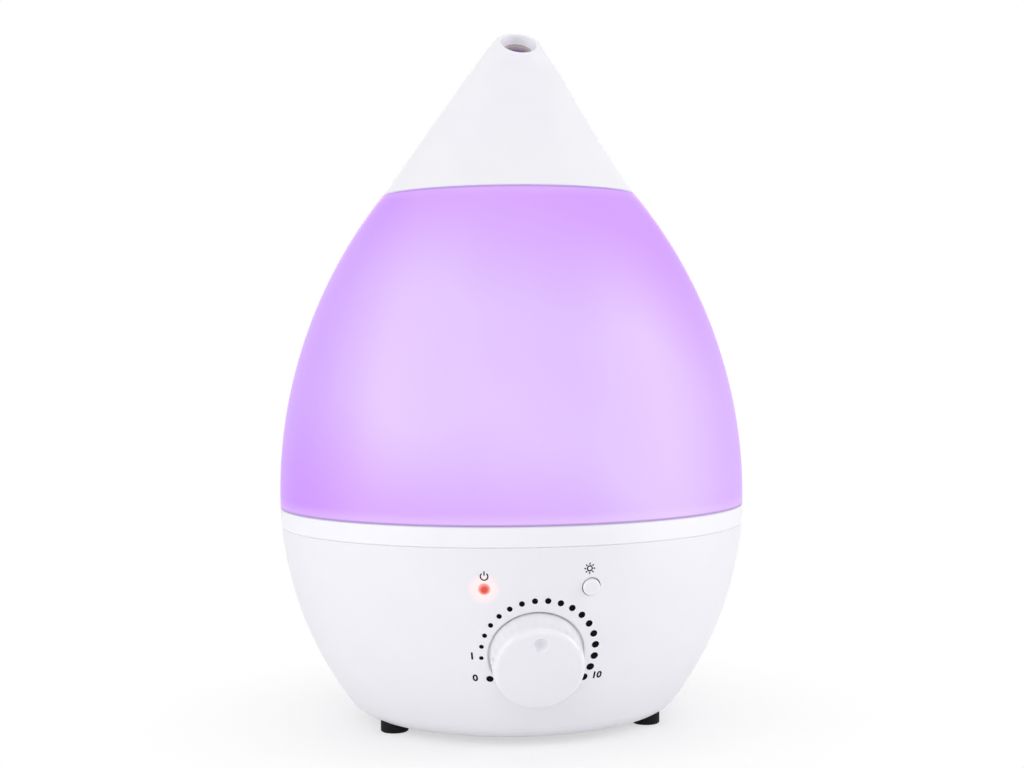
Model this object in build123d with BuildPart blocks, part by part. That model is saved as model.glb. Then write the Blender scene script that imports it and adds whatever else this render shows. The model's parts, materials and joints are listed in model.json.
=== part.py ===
from build123d import *
import os
from math import asin, atan2, cos, pi, radians, sin, sqrt

# Cool mist humidifier in the shape of a drop: a white base with a dial, a frosted water tank
# that is lit from below, and a white mist lid with a leaning spout. Millimetres, +Z up, the
# front panel faces -Y. The origin is on the table, on the axis of the drop.

# Outer form
BELLY_R = 85.0  # widest radius of the drop
SEAM_Z = 78.0  # the tank stands on the base here
BELLY_RISE = 4.0  # widest section above that seam
BASE_DRAW = 28.6  # the side of the base draws in by this down to its underside
BASE_ROUND_R = 12.0  # round between the side and the underside
FLOOR_GAP = 2.4  # underside above the table
BAND_H = 7.0  # rim band of the basin tray, below the seam
TANK_H = 113.0  # tank, from its seam up to the lid
TANK_TOP_R = 46.7  # radius of the tank under the lid
WALL = 2.5  # moulded wall of the base and the tank
EDGE_ROUND = 0.5  # moulded edges where two shells meet

# Clearances
FIT = 0.1  # glued, screwed or pushed together
LOOSE = 0.3  # lifted off or moved by hand
RUNNING = 0.05  # shaft in its bearing

# Underside and feet
LEDGE_W = 3.5  # ledge that the bottom cover seats against
FLAT_MARGIN = 5.3  # flat ring outside the bottom cover
FOOT_TURNS = (-60.0, 60.0, 180.0)  # degrees to the right of the front
FOOT_OUT = 1.5  # foot axis outside the start of the bottom round
FOOT_BOSS_R = 5.8
FOOT_PAD_R = 4.9
FOOT_H = 6.2  # rubber, from the table up into its pocket
FOOT_CHAMFER = 0.4
FOOT_BOSS_TOP = 2.8  # boss above the inside floor
INTAKE_SLOTS = 7
INTAKE_SLOT_W = 2.4
INTAKE_PITCH = 4.2
INTAKE_LENGTH = 24.0

# Dial
KNOB_Z = 34.3
KNOB_R = 15.0
KNOB_DRAFT = 0.4  # growth of the radius towards the base
KNOB_H = 8.6  # face edge above the skin
KNOB_CROWN = 0.7
KNOB_FLAT_R = 1.5  # flat middle of the crowned face
KNOB_ROUND = 2.0
KNOB_WALL = 2.0
KNOB_BOSS_T = 2.5  # wall of the boss round the shaft
KNOB_GAP = 0.5  # ring between knob and dish
DISH_DEPTH = 2.4
DIMPLE_R = 2.6
DIMPLE_DEPTH = 1.2
DIMPLE_OUT = 9.8  # dimple from the knob's axis
POT_SHAFT_R = 3.0
POT_SHAFT_FLAT = 1.0  # depth of the shaft's flat
BUSHING_R = 3.5
BUSHING_OUT = 1.0  # bushing above the skin's tangent plane
POT_R = 8.0
POT_T = 5.0
POT_SWITCH_R = 7.0
POT_SWITCH_T = 5.2
POT_TAB_W = 1.4  # solder tabs
POT_TAB_L = 4.0
POT_TAB_T = 0.8
NUT_ACROSS = 10.0
NUT_T = 2.0

# Front panel: light button and power light, on one board
PANEL_Z = 57.1
BUTTON_X = 17.5
BUTTON_R = 2.85
BUTTON_PROUD = 1.6
BUTTON_TRAVEL = 1.5
BUTTON_FLANGE = 1.2  # flange beyond the cap
LENS_X = -17.5
LENS_R = 1.9
LENS_PROUD = 0.5
LENS_FLANGE = 1.0  # flange beyond the lens, and its thickness
LAMP_R = 1.5
LAMP_GAP = 0.5  # lamp behind the lens
PANEL_DEPTH = 13.5  # board face behind the skin
PANEL_W = 48.0
PANEL_H = 12.0
PANEL_POST_X = 8.0
SWITCH_W = 7.0
SWITCH_T = 4.4
PLUNGER_R = 1.45
BOARD_T = 1.6

# Power inlet at the back
INLET_Z = 24.0
INLET_R = 6.0  # bore for the plug's body
INLET_LENGTH = 6.0
INLET_LAND_R = 9.0  # flat round the bore
INLET_LAND_IN = 3.5  # flat behind the skin's lowest point
JACK_W = 12.0
JACK_L = 12.0
JACK_FLANGE_T = 1.6
JACK_SCREW_X = 9.0
JACK_SOCKET_R = 3.1
JACK_PIN_R = 1.0

# Basin tray
RIM_W = 4.95  # width of the rim that the tank stands on
BASIN_LEDGE_W = 17.0
BASIN_LEDGE_DROP = 0.5  # ledge below the band's lower edge
BASIN_DEPTH = 26.0  # basin floor below the seam
TRAY_T = 2.5
LOCATE_H = 5.0  # locating ring inside the housing
LOCATE_T = 2.2
WELL_TOP_R = 20.0
WELL_R = 14.0
WELL_DEPTH = 8.0
WELL_HOLE_R = 9.0
PILLAR_R = 3.5
PILLAR_OUT = 37.0
PILLAR_TURNS = (0.0, 120.0, 200.0)
VALVE_POST_R = 4.0
VALVE_POST_H = 4.0

# Mist maker
DISC_R = 10.0
DISC_T = 1.3
SEAL_R = 12.0
SEAL_LIP = 1.0
CLAMP_R = 18.6
CLAMP_T = 1.6
CLAMP_SCREW_OUT = 15.5
CLAMP_BOSS_R = 2.6

# Light under the tank
LIGHT_COUNT = 6
LIGHT_OUT = 28.0
LIGHT_R = 3.5
LIGHT_FLANGE = 1.1
LIGHT_FLANGE_T = 1.5
LIGHT_PROUD = 0.4
CHIP_W = 5.0
CHIP_T = 1.6
LIGHT_GAP = 0.4  # chip to lens
LIGHT_BOARD_IN = 21.2
LIGHT_BOARD_OUT = 32.5
LIGHT_PEG_R = 2.4

# Fan and air duct
FAN_W = 40.0
FAN_T = 10.0
FAN_RISE = 2.6  # fan above the ledge
FAN_Y = 2.0
FAN_SHIFT = 23.0  # fan axis from the riser's axis, towards the middle
FAN_BORE_R = 18.8
FAN_HOLE = 16.0
FAN_HUB_R = 9.0
FAN_TIP_GAP = 0.8
FAN_BLADES = 7
FAN_BLADE_T = 1.0
FAN_BLADE_CHORD = 7.0
FAN_BLADE_PITCH = 40.0
FAN_SHAFT_R = 1.0
FAN_WEB_T = 1.0
FAN_CUP_T = 1.2
FAN_STRUTS = 3
FAN_POLES = 4
FAN_POLE_W = 2.88
RISER_R = 8.0  # bore of the air riser
RISER_T = 2.0
RISER_IN = 4.0  # riser from the basin wall
RISER_TOP = 9.0  # riser's mouth below the seam
RISER_SPIGOT = 6.0  # spigot under the floor for the duct
DUCT_T = 2.2
DUCT_FLANGE_T = 2.5

# Float switch
FLOAT_TURN = 72.3
FLOAT_OUT = 46.2
FLOAT_R = 9.0
FLOAT_H = 10.0
FLOAT_TRAVEL = 6.0
FLOAT_ROUND = 1.0
FLOAT_POST_R = 3.0
FLOAT_BORE_GAP = 0.5
MAGNET_R = 7.0
MAGNET_T = 3.0
MAGNET_WALL = 1.0  # float wall inside the magnet
REED_R = 1.6
REED_L = 14.0
CLIP_R = 5.6
CLIP_T = 0.8
CLIP_STUD_STEP = 1.0  # stud for the clip inside the post's radius

# Driver board
BOARD_X = 17.0
BOARD_Y = -7.0
BOARD_W = 28.0
BOARD_L = 38.0
BOARD_RISE = 6.1  # board above the bottom cover
BOARD_HOLE_IN = 3.0
STANDOFF_R = 2.5
SINK_W = 9.0
SINK_PLATE = 3.0
SINK_L = 22.0
SINK_H = 16.0
SINK_FIN_T = 1.2
SINK_FINS = 6
SINK_X = 3.0  # plate's face from the board's middle
CHIP_BODY_T = 4.3  # power transistor
CHIP_BODY_W = 10.0
CHIP_BODY_H = 11.5
CHIP_LEGS = 3.5
CHIP_LEG_T = 0.6
CHIP_LEG_W = 0.9
CONNECTOR_W = 7.5
CONNECTOR_L = 5.0
CONNECTOR_H = 6.0
CONNECTOR_SPOTS = [(-4.5, -15.0), (4.5, -15.0), (-4.5, 16.0), (4.5, 16.0)]
CAPACITORS = (((-6.0, 8.2), 3.6, 11.0), ((-10.0, 1.8), 2.8, 9.0))  # spot, radius, height
COIL_SPOT = (-7.5, -6.0)
COIL_R = 5.0
COIL_CORE_R = 3.8
COIL_H = 8.0
COIL_FLANGE = 1.2

# Leads inside the base
LEAD_R = 0.9
LEAD_BEND = 3.0
LEAD_RISE = 8.0  # straight run out of a connector
LEAD_OUT = 8.0  # straight run out of what a lead feeds
LEAD_BESIDE = 2.0  # two leads in one connector
LEAD_OVER = 12.8  # taller run, over the heat sink

# Screws
SCREW_R = 1.25
SCREW_HEAD_R = 2.3
SCREW_HEAD_T = 1.2
SHORT_BITE = 2.5  # thread in a board's post
SHORT_PILOT = 3.75
LONG_BITE = 3.75  # thread in the housing
LONG_PILOT = 5.0
COVER_SCREW_L = 10.0
THIRDS = (0.0, 120.0, 240.0)  # turns of three screws

# Water tank
TANK_LIP = 1.0  # tank floor above the seam
SKIRT_H = 5.0  # skirt that drops into the rim
SKIRT_T = 2.5
SKIRT_GAP = 0.5  # skirt inside the rim
CHIMNEY_R = 12.3
CHIMNEY_T = 2.2
CHIMNEY_FLARE = 6.7
CHIMNEY_FLARE_H = 26.0
CHIMNEY_OVER = 9.0  # chimney above the lid's seam
NECK_LEDGE_W = 4.4  # ledge that the lid stands on
NECK_H = 7.0  # neck that takes the lid's spigot

# Filler cap and valve
FILLER_R = 13.5
FILLER_T = 2.5
FILLER_H = 12.5  # filler neck below the tank floor
CAP_GRIP = 2.5  # cap edge from the basin wall
CAP_T = 2.9
CAP_FLOOR_T = 2.2
CAP_TOP_GAP = 1.5
CAP_RIBS = 24
LUG_COUNT = 3
LUG_SPAN = 30.0
LUG_H = 2.0
LUG_REACH = 1.3
LUG_UP = 2.5  # neck lugs above the neck's mouth
GASKET_T = 1.9
GASKET_IN = 0.5  # gasket inside the neck's bore
VALVE_BORE_R = 5.0
VALVE_STEM_R = 1.6
VALVE_HUB_R = 3.0
VALVE_WEBS = 3
VALVE_WEB_W = 1.2
VALVE_WEB_IN = 0.5  # web into the hub and into the cap
VALVE_DISC_R = 7.0
VALVE_DISC_T = 1.5
VALVE_SEAL_T = 1.0
VALVE_FOOT_R = 5.0
VALVE_FOOT_T = 1.5
VALVE_TRAVEL = 3.0
SPRING_WIRE_R = 0.3
SPRING_R = 3.4
SPRING_TURNS = 4

# Mist lid
LID_STEP = 0.2  # lid edge inside the tank edge
LID_WALL = 2.2
LID_TURN = 6.9  # spout to the right of the front
LID_RISE = 54.2  # middle of the tip above the tank
LID_REACH = 19.8  # and in front of the drop's axis
LID_TIP_LEAN = 27.7  # degrees, the tip's face towards the front
LID_TIP_R = 8.2
LID_TIP_ROUND = 1.8
LID_TIP_T = 5.0
LID_SECTIONS = 6
SPIGOT_H = 6.0
SPIGOT_T = 3.2
LID_FLANGE_T = 2.0
LID_SEAL_T = 2.4
LID_SEAL_IN = 1.2
LID_SEAL_GAP = 0.25  # seal inside the tank's neck
BAFFLE_ARMS = 3
OUTLET_R = 5.05
DISH_OUT_R = 6.5
DISH_IN_R = 5.6
DISH_LID_DEPTH = 2.4
BAFFLE_R = 17.0
BAFFLE_T = 1.6
BAFFLE_OVER = 8.0  # baffle above the chimney
BAFFLE_ARM_W = 4.0

# Levels and radii that follow from the sizes above
BELLY_Z = SEAM_Z + BELLY_RISE
BAND_Z = SEAM_Z - BAND_H
LID_Z = SEAM_Z + TANK_H
COVER_TOP = FLOOR_GAP + WALL
LEDGE_TOP = COVER_TOP + WALL


def side_arc_r(reach, height):
    """Radius of an arc that leaves the belly upright and comes in by reach over height."""
    return (height**2 + reach**2) / (2 * reach)


BASE_ARC_R = side_arc_r(BASE_DRAW, BELLY_Z - FLOOR_GAP)
TANK_ARC_R = side_arc_r(BELLY_R - TANK_TOP_R, LID_Z - BELLY_Z)


def skin_r(z, arc_r, inset=0.0):
    """Radius of the drop at height z on a side arc, measured inset behind the skin."""
    return BELLY_R - arc_r + sqrt((arc_r - inset) ** 2 - (z - BELLY_Z) ** 2)


def skin_arc(z_from, z_to, arc_r, inset=0.0):
    """Three points of the side arc between two heights."""
    heights = (z_from, (z_from + z_to) / 2, z_to)
    return [(skin_r(z, arc_r, inset), z) for z in heights]


# The bottom round touches the side arc and the underside
ROUND_Z = FLOOR_GAP + BASE_ROUND_R
ROUND_R = BELLY_R - BASE_ARC_R + sqrt((BASE_ARC_R - BASE_ROUND_R) ** 2 - (ROUND_Z - BELLY_Z) ** 2)
ROUND_TURN = atan2(ROUND_Z - BELLY_Z, ROUND_R - BELLY_R + BASE_ARC_R)


def round_arc(inset=0.0):
    """Three points of the bottom round, from the underside up to the side arc."""
    turns = (-pi / 2, (ROUND_TURN - pi / 2) / 2, ROUND_TURN)
    r = BASE_ROUND_R - inset
    return [(ROUND_R + r * cos(a), ROUND_Z + r * sin(a)) for a in turns]


def skin_plane(turn, z):
    """Plane on the skin of the base, facing out, at a turn to the right of the front."""
    r = skin_r(z, BASE_ARC_R)
    lean = asin((z - BELLY_Z) / BASE_ARC_R)
    a = radians(turn)
    return Plane(
        origin=(r * sin(a), -r * cos(a), z),
        x_dir=(cos(a), sin(a), 0),
        z_dir=(sin(a) * cos(lean), -cos(a) * cos(lean), sin(lean)),
    )


def front_spot(radius, turn):
    """Point at a radius and a turn to the right of the front."""
    return (radius * sin(radians(turn)), -radius * cos(radians(turn)))


def level(z):
    return Plane.XY.offset(z)


def section_of(plane):
    """Plane that holds the normal of a plane as its upright direction."""
    return Plane(plane.origin, x_dir=plane.x_dir, z_dir=-plane.y_dir)


def posts(plane, radius, height, spots=((0, 0),), mode=Mode.ADD):
    """Round posts of one size that stand on a plane."""
    with BuildSketch(plane) as outline:
        with Locations(*spots):
            Circle(radius)
    extrude(outline.sketch, amount=height, mode=mode)


def blocks(plane, width, length, height, spots=((0, 0),), mode=Mode.ADD):
    """Square-cornered blocks of one size that stand on a plane."""
    with BuildSketch(plane) as outline:
        with Locations(*spots):
            Rectangle(width, length)
    extrude(outline.sketch, amount=height, mode=mode)


def turned(points, about=Plane.XY, mode=Mode.ADD):
    """A turned piece: its half section, as radius and height over a plane."""
    with BuildSketch(section_of(about)) as half:
        with BuildLine():
            Polyline(*points, close=True)
        make_face()
    revolve(half.sketch, axis=Axis(about.origin, about.z_dir), mode=mode)


def ring(about, z_low, z_high, r_in, r_out, mode=Mode.ADD):
    turned([(r_in, z_low), (r_out, z_low), (r_out, z_high), (r_in, z_high)], about, mode)


def screws(seat, length, spots):
    """Pan-head screws: the seat is the plane under the heads, facing the driver."""
    posts(seat, SCREW_HEAD_R, SCREW_HEAD_T, spots)
    posts(seat, SCREW_R, -length, spots)
    blocks(seat.offset(SCREW_HEAD_T / 2), SCREW_HEAD_R, SCREW_R / 2, SCREW_HEAD_T, spots, Mode.SUBTRACT)


def outer_edge(builder, z):
    """Outermost round edge of a piece at a height."""
    rounds = builder.edges().filter_by(GeomType.CIRCLE)
    return rounds.filter_by_position(Axis.Z, z - FIT, z + FIT).sort_by(SortBy.RADIUS)[-1]


def save(builder, name):
    builder.part.label = name
    export_step(builder.part, f"parts/{name}.step")


os.makedirs("parts", exist_ok=True)

# Places that several pieces share
KNOB_PLANE = skin_plane(0, KNOB_Z)
PANEL_PLANE = skin_plane(0, PANEL_Z)
DISH_BACK = DISH_DEPTH + WALL
KNOB_FOOT_R = KNOB_R + KNOB_DRAFT
OPEN_R = ROUND_R - FLAT_MARGIN
LEDGE_R = OPEN_R - LEDGE_W
FOOT_SPOTS = [front_spot(ROUND_R + FOOT_OUT, turn) for turn in FOOT_TURNS]
INLET_LAND_Y = skin_r(INLET_Z - INLET_LAND_R, BASE_ARC_R) - INLET_LAND_IN
INLET_FLOOR_Y = INLET_LAND_Y - INLET_LENGTH


def inlet_plane(y):
    """Upright plane across the power inlet, facing out of the back."""
    return Plane(origin=(0, y, INLET_Z), x_dir=(-1, 0, 0), z_dir=(0, 1, 0))


def panel_skin_depth(x):
    """Depth of the skin behind the front panel's plane, at a distance to the side."""
    r = skin_r(PANEL_Z, BASE_ARC_R)
    return (r - sqrt(r**2 - x**2)) * cos(asin((PANEL_Z - BELLY_Z) / BASE_ARC_R))


BUTTON_SKIN = panel_skin_depth(BUTTON_X)
LENS_SKIN = panel_skin_depth(LENS_X)
BUTTON_REACH = BUTTON_R + BUTTON_FLANGE
BUTTON_FLANGE_TOP = panel_skin_depth(BUTTON_X + BUTTON_REACH) + WALL + LOOSE
PANEL_POSTS = [(-PANEL_POST_X, 0), (PANEL_POST_X, 0)]
INLET_POSTS = [(-JACK_SCREW_X, 0), (JACK_SCREW_X, 0)]

# Base housing

with BuildPart() as base_core:
    with BuildSketch(Plane.XZ):
        with BuildLine():
            mid_wall = WALL / 2
            Polyline((0, BAND_Z), (0, FLOOR_GAP + mid_wall), round_arc(mid_wall)[0])
            ThreePointArc(*round_arc(mid_wall))
            ThreePointArc(*skin_arc(round_arc(mid_wall)[2][1], BAND_Z, BASE_ARC_R, mid_wall))
            Line((skin_r(BAND_Z, BASE_ARC_R, mid_wall), BAND_Z), (0, BAND_Z))
        make_face()
    revolve(axis=Axis.Z)

with BuildPart() as housing_bosses:
    posts(KNOB_PLANE.offset(-DISH_BACK), KNOB_FOOT_R + KNOB_GAP + WALL, DISH_BACK)
    posts(PANEL_PLANE.offset(-PANEL_DEPTH), PILLAR_R, PANEL_DEPTH, PANEL_POSTS)
    posts(inlet_plane(INLET_FLOOR_Y), INLET_LAND_R + WALL, BELLY_R)
    posts(level(0), FOOT_BOSS_R, COVER_TOP + FOOT_BOSS_TOP, FOOT_SPOTS)
    add(base_core.part, mode=Mode.INTERSECT)

with BuildPart() as base_housing:
    with BuildSketch(Plane.XZ):
        with BuildLine():
            outer_round = round_arc()
            inner_round = round_arc(WALL)
            Line((OPEN_R, FLOOR_GAP), outer_round[0])
            ThreePointArc(*outer_round)
            ThreePointArc(*skin_arc(outer_round[2][1], BAND_Z, BASE_ARC_R))
            Line((skin_r(BAND_Z, BASE_ARC_R), BAND_Z), (skin_r(BAND_Z, BASE_ARC_R, WALL), BAND_Z))
            ThreePointArc(*skin_arc(BAND_Z, inner_round[2][1], BASE_ARC_R, WALL))
            ThreePointArc(*reversed(inner_round))
            Polyline(
                inner_round[0],
                (OPEN_R + WALL, COVER_TOP),
                (OPEN_R + WALL, LEDGE_TOP),
                (LEDGE_R, LEDGE_TOP),
                (LEDGE_R, COVER_TOP),
                (OPEN_R, COVER_TOP),
                (OPEN_R, FLOOR_GAP),
            )
        make_face()
    revolve(axis=Axis.Z)
    fillet(outer_edge(base_housing, BAND_Z), EDGE_ROUND)
    add(housing_bosses.part)
    posts(level(0), FOOT_PAD_R + FIT, FOOT_H, FOOT_SPOTS, Mode.SUBTRACT)
    posts(KNOB_PLANE.offset(-DISH_DEPTH), KNOB_FOOT_R + KNOB_GAP, BELLY_R, mode=Mode.SUBTRACT)
    dish_wall = base_housing.faces(Select.LAST).filter_by(GeomType.CYLINDER).sort_by(SortBy.AREA)[-1]
    fillet(dish_wall.edges().filter_by(GeomType.BSPLINE), EDGE_ROUND)
    posts(KNOB_PLANE.offset(-BELLY_R / 2), BUSHING_R + FIT, BELLY_R, mode=Mode.SUBTRACT)
    posts(PANEL_PLANE.offset(-PANEL_DEPTH), BUTTON_R + LOOSE, BELLY_R, [(BUTTON_X, 0)], Mode.SUBTRACT)
    posts(PANEL_PLANE.offset(-PANEL_DEPTH), LENS_R + FIT, BELLY_R, [(LENS_X, 0)], Mode.SUBTRACT)
    posts(PANEL_PLANE.offset(-PANEL_DEPTH), SCREW_R + RUNNING, LONG_PILOT, PANEL_POSTS, Mode.SUBTRACT)
    posts(inlet_plane(INLET_LAND_Y), INLET_LAND_R, BELLY_R, mode=Mode.SUBTRACT)
    posts(inlet_plane(INLET_FLOOR_Y), INLET_R, INLET_LENGTH, mode=Mode.SUBTRACT)
    posts(inlet_plane(INLET_FLOOR_Y), SCREW_R + RUNNING, LONG_PILOT, INLET_POSTS, Mode.SUBTRACT)
save(base_housing, "base_housing")

with BuildPart() as foot_pads:
    posts(level(0), FOOT_PAD_R, FOOT_H, FOOT_SPOTS)
    chamfer(foot_pads.edges().group_by(Axis.Z)[0], FOOT_CHAMFER)
save(foot_pads, "foot_pads")

# Basin tray, with everything that is moulded on it

RIM_IN_R = skin_r(SEAM_Z, BASE_ARC_R) - RIM_W
BASIN_R = RIM_IN_R - BASIN_LEDGE_W
BASIN_Z = SEAM_Z - BASIN_DEPTH
TRAY_UNDER = BASIN_Z - TRAY_T
WELL_Z = BASIN_Z - WELL_DEPTH
WELL_UNDER = WELL_Z - TRAY_T
BASIN_LEDGE_Z = BAND_Z - BASIN_LEDGE_DROP
LOCATE_Z = BAND_Z - LOCATE_H
LOCATE_R = skin_r(LOCATE_Z, BASE_ARC_R, WALL) - LOOSE
RISER_OUT_R = RISER_R + RISER_T
RISER_X = -(BASIN_R - RISER_OUT_R - RISER_IN)
RISER_Y = FAN_Y
RISER_MOUTH_Z = SEAM_Z - RISER_TOP
SPIGOT_Z = TRAY_UNDER - RISER_SPIGOT
CAP_IN_R = FILLER_R + FILLER_T + LUG_REACH + LOOSE
CAP_OUT_R = CAP_IN_R + CAP_T
FILLER_Y = BASIN_R - CAP_OUT_R - CAP_GRIP
FLOAT_X, FLOAT_Y = front_spot(FLOAT_OUT, FLOAT_TURN)
FLOAT_Z = BASIN_Z + LOOSE
CLIP_Z = FLOAT_Z + FLOAT_H + FLOAT_TRAVEL + LOOSE
CLIP_STUD_R = FLOAT_POST_R - CLIP_STUD_STEP
PILLAR_SPOTS = [front_spot(PILLAR_OUT, turn) for turn in PILLAR_TURNS]
CLAMP_Z = WELL_UNDER - DISC_T - 2 * SEAL_LIP
CLAMP_SPOTS = [front_spot(CLAMP_SCREW_OUT, turn) for turn in THIRDS]
LIGHT_TURNS = [360 / LIGHT_COUNT * n for n in range(LIGHT_COUNT)]
LIGHT_SPOTS = [front_spot(LIGHT_OUT, turn + 90) for turn in LIGHT_TURNS]
LIGHT_PEGS = [front_spot(LIGHT_OUT, turn) for turn in THIRDS]
LIGHT_BOARD_Z = TRAY_UNDER - LIGHT_FLANGE_T - LIGHT_GAP - CHIP_T - BOARD_T

with BuildPart() as basin_tray:
    with BuildSketch(Plane.XZ):
        with BuildLine():
            ThreePointArc(*skin_arc(BAND_Z, SEAM_Z, BASE_ARC_R))
            Polyline(
                (skin_r(SEAM_Z, BASE_ARC_R), SEAM_Z),
                (RIM_IN_R, SEAM_Z),
                (RIM_IN_R, BASIN_LEDGE_Z),
                (BASIN_R, BASIN_LEDGE_Z),
                (BASIN_R, BASIN_Z),
                (WELL_TOP_R, BASIN_Z),
                (WELL_R, WELL_Z),
                (WELL_HOLE_R, WELL_Z),
                (WELL_HOLE_R, WELL_UNDER),
                (WELL_R + TRAY_T, WELL_UNDER),
                (WELL_TOP_R + TRAY_T, TRAY_UNDER),
                (BASIN_R + TRAY_T, TRAY_UNDER),
                (BASIN_R + TRAY_T, BASIN_LEDGE_Z - TRAY_T),
                (LOCATE_R - LOCATE_T, BASIN_LEDGE_Z - TRAY_T),
                (LOCATE_R - LOCATE_T, LOCATE_Z),
                (LOCATE_R, LOCATE_Z),
                (LOCATE_R, BAND_Z),
                (skin_r(BAND_Z, BASE_ARC_R), BAND_Z),
            )
        make_face()
    revolve(axis=Axis.Z)
    fillet([outer_edge(basin_tray, z) for z in (BAND_Z, SEAM_Z)], EDGE_ROUND)
    posts(level(COVER_TOP), PILLAR_R, TRAY_UNDER - COVER_TOP, PILLAR_SPOTS)
    posts(level(COVER_TOP), SCREW_R + RUNNING, COVER_SCREW_L, PILLAR_SPOTS, Mode.SUBTRACT)
    posts(level(CLAMP_Z), CLAMP_BOSS_R, WELL_UNDER - CLAMP_Z, CLAMP_SPOTS)
    posts(level(CLAMP_Z), SCREW_R + RUNNING, WELL_UNDER - CLAMP_Z, CLAMP_SPOTS, Mode.SUBTRACT)
    posts(level(LIGHT_BOARD_Z + BOARD_T), LIGHT_PEG_R, TRAY_UNDER - LIGHT_BOARD_Z - BOARD_T, LIGHT_PEGS)
    posts(level(LIGHT_BOARD_Z + BOARD_T), SCREW_R + RUNNING, SHORT_PILOT, LIGHT_PEGS, Mode.SUBTRACT)
    posts(level(TRAY_UNDER), LIGHT_R + RUNNING, TRAY_T, LIGHT_SPOTS, Mode.SUBTRACT)
    riser = level(0).move(Location((RISER_X, RISER_Y, 0)))
    posts(riser.offset(SPIGOT_Z), RISER_OUT_R, RISER_MOUTH_Z - SPIGOT_Z)
    posts(riser.offset(SPIGOT_Z), RISER_R, RISER_MOUTH_Z - SPIGOT_Z, mode=Mode.SUBTRACT)
    float_post = level(0).move(Location((FLOAT_X, FLOAT_Y, 0)))
    posts(float_post.offset(TRAY_UNDER), FLOAT_POST_R, CLIP_Z - TRAY_UNDER)
    posts(float_post.offset(CLIP_Z), CLIP_STUD_R, 2 * CLIP_T)
    posts(float_post.offset(TRAY_UNDER), REED_R + FIT, REED_L, mode=Mode.SUBTRACT)
    posts(level(BASIN_Z), VALVE_POST_R, VALVE_POST_H, [(0, FILLER_Y)])
save(basin_tray, "basin_tray")

# Bottom cover

BOARD_Z = COVER_TOP + BOARD_RISE
BOARD_CENTRE = (BOARD_X, BOARD_Y)
BOARD_HOLES = [
    (BOARD_X + side * (BOARD_W / 2 - BOARD_HOLE_IN), BOARD_Y + end * (BOARD_L / 2 - BOARD_HOLE_IN))
    for side in (-1, 1)
    for end in (-1, 1)
]
FAN_X = RISER_X + FAN_SHIFT
FAN_Z = LEDGE_TOP + FAN_RISE
INTAKE_X = max(FAN_X, -(LEDGE_R - INTAKE_LENGTH / 2 - PILLAR_R))

with BuildPart() as bottom_cover:
    posts(level(FLOOR_GAP), OPEN_R - LOOSE, WALL)
    posts(level(COVER_TOP), STANDOFF_R, BOARD_RISE, BOARD_HOLES)
    posts(level(FLOOR_GAP), SCREW_HEAD_R + LOOSE, SCREW_HEAD_T + FIT, PILLAR_SPOTS, Mode.SUBTRACT)
    posts(level(FLOOR_GAP), SCREW_R + FIT, WALL, PILLAR_SPOTS, Mode.SUBTRACT)
    posts(level(BOARD_Z), SCREW_R + RUNNING, -SHORT_PILOT, BOARD_HOLES, Mode.SUBTRACT)
    with BuildSketch(level(FLOOR_GAP)):
        with Locations((INTAKE_X, FAN_Y)):
            with GridLocations(INTAKE_PITCH, 0, INTAKE_SLOTS, 1):
                SlotOverall(INTAKE_LENGTH, INTAKE_SLOT_W, rotation=90)
    extrude(amount=WALL, mode=Mode.SUBTRACT)
save(bottom_cover, "bottom_cover")

with BuildPart() as cover_screws:
    under_cover = Plane(origin=(0, 0, FLOOR_GAP + SCREW_HEAD_T + FIT), x_dir=(1, 0, 0), z_dir=(0, 0, -1))
    screws(under_cover, COVER_SCREW_L, [(x, -y) for x, y in PILLAR_SPOTS])
save(cover_screws, "cover_screws")

# Mist maker under the well

with BuildPart() as transducer_seal:
    disc_low = CLAMP_Z + SEAL_LIP
    turned(
        [
            (WELL_HOLE_R, CLAMP_Z),
            (SEAL_R, CLAMP_Z),
            (SEAL_R, WELL_UNDER),
            (WELL_HOLE_R, WELL_UNDER),
            (WELL_HOLE_R, disc_low + DISC_T),
            (DISC_R + RUNNING, disc_low + DISC_T),
            (DISC_R + RUNNING, disc_low),
            (WELL_HOLE_R, disc_low),
        ]
    )
save(transducer_seal, "transducer_seal")

with BuildPart() as transducer_disc:
    posts(level(disc_low), DISC_R, DISC_T)
save(transducer_disc, "transducer_disc")

with BuildPart() as transducer_clamp:
    ring(level(CLAMP_Z - CLAMP_T), 0, CLAMP_T, WELL_HOLE_R, CLAMP_R)
    posts(level(CLAMP_Z), SCREW_R + FIT, -CLAMP_T, CLAMP_SPOTS, Mode.SUBTRACT)
save(transducer_clamp, "transducer_clamp")

with BuildPart() as clamp_screws:
    under_clamp = Plane(origin=(0, 0, CLAMP_Z - CLAMP_T), x_dir=(1, 0, 0), z_dir=(0, 0, -1))
    screws(under_clamp, CLAMP_T + 2 * SEAL_LIP, [(x, -y) for x, y in CLAMP_SPOTS])
save(clamp_screws, "clamp_screws")

# Light under the tank

with BuildPart() as led_lenses:
    posts(level(TRAY_UNDER), LIGHT_R, TRAY_T + LIGHT_PROUD, LIGHT_SPOTS)
    posts(level(TRAY_UNDER), LIGHT_R + LIGHT_FLANGE, -LIGHT_FLANGE_T, LIGHT_SPOTS)
save(led_lenses, "led_lenses")

with BuildPart() as led_board:
    ring(level(LIGHT_BOARD_Z), 0, BOARD_T, LIGHT_BOARD_IN, LIGHT_BOARD_OUT)
    posts(level(LIGHT_BOARD_Z), SCREW_R + FIT, BOARD_T, LIGHT_PEGS, Mode.SUBTRACT)
save(led_board, "led_board")

with BuildPart() as led_chips:
    blocks(level(LIGHT_BOARD_Z + BOARD_T), CHIP_W, CHIP_W, CHIP_T, LIGHT_SPOTS)
save(led_chips, "led_chips")

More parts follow.
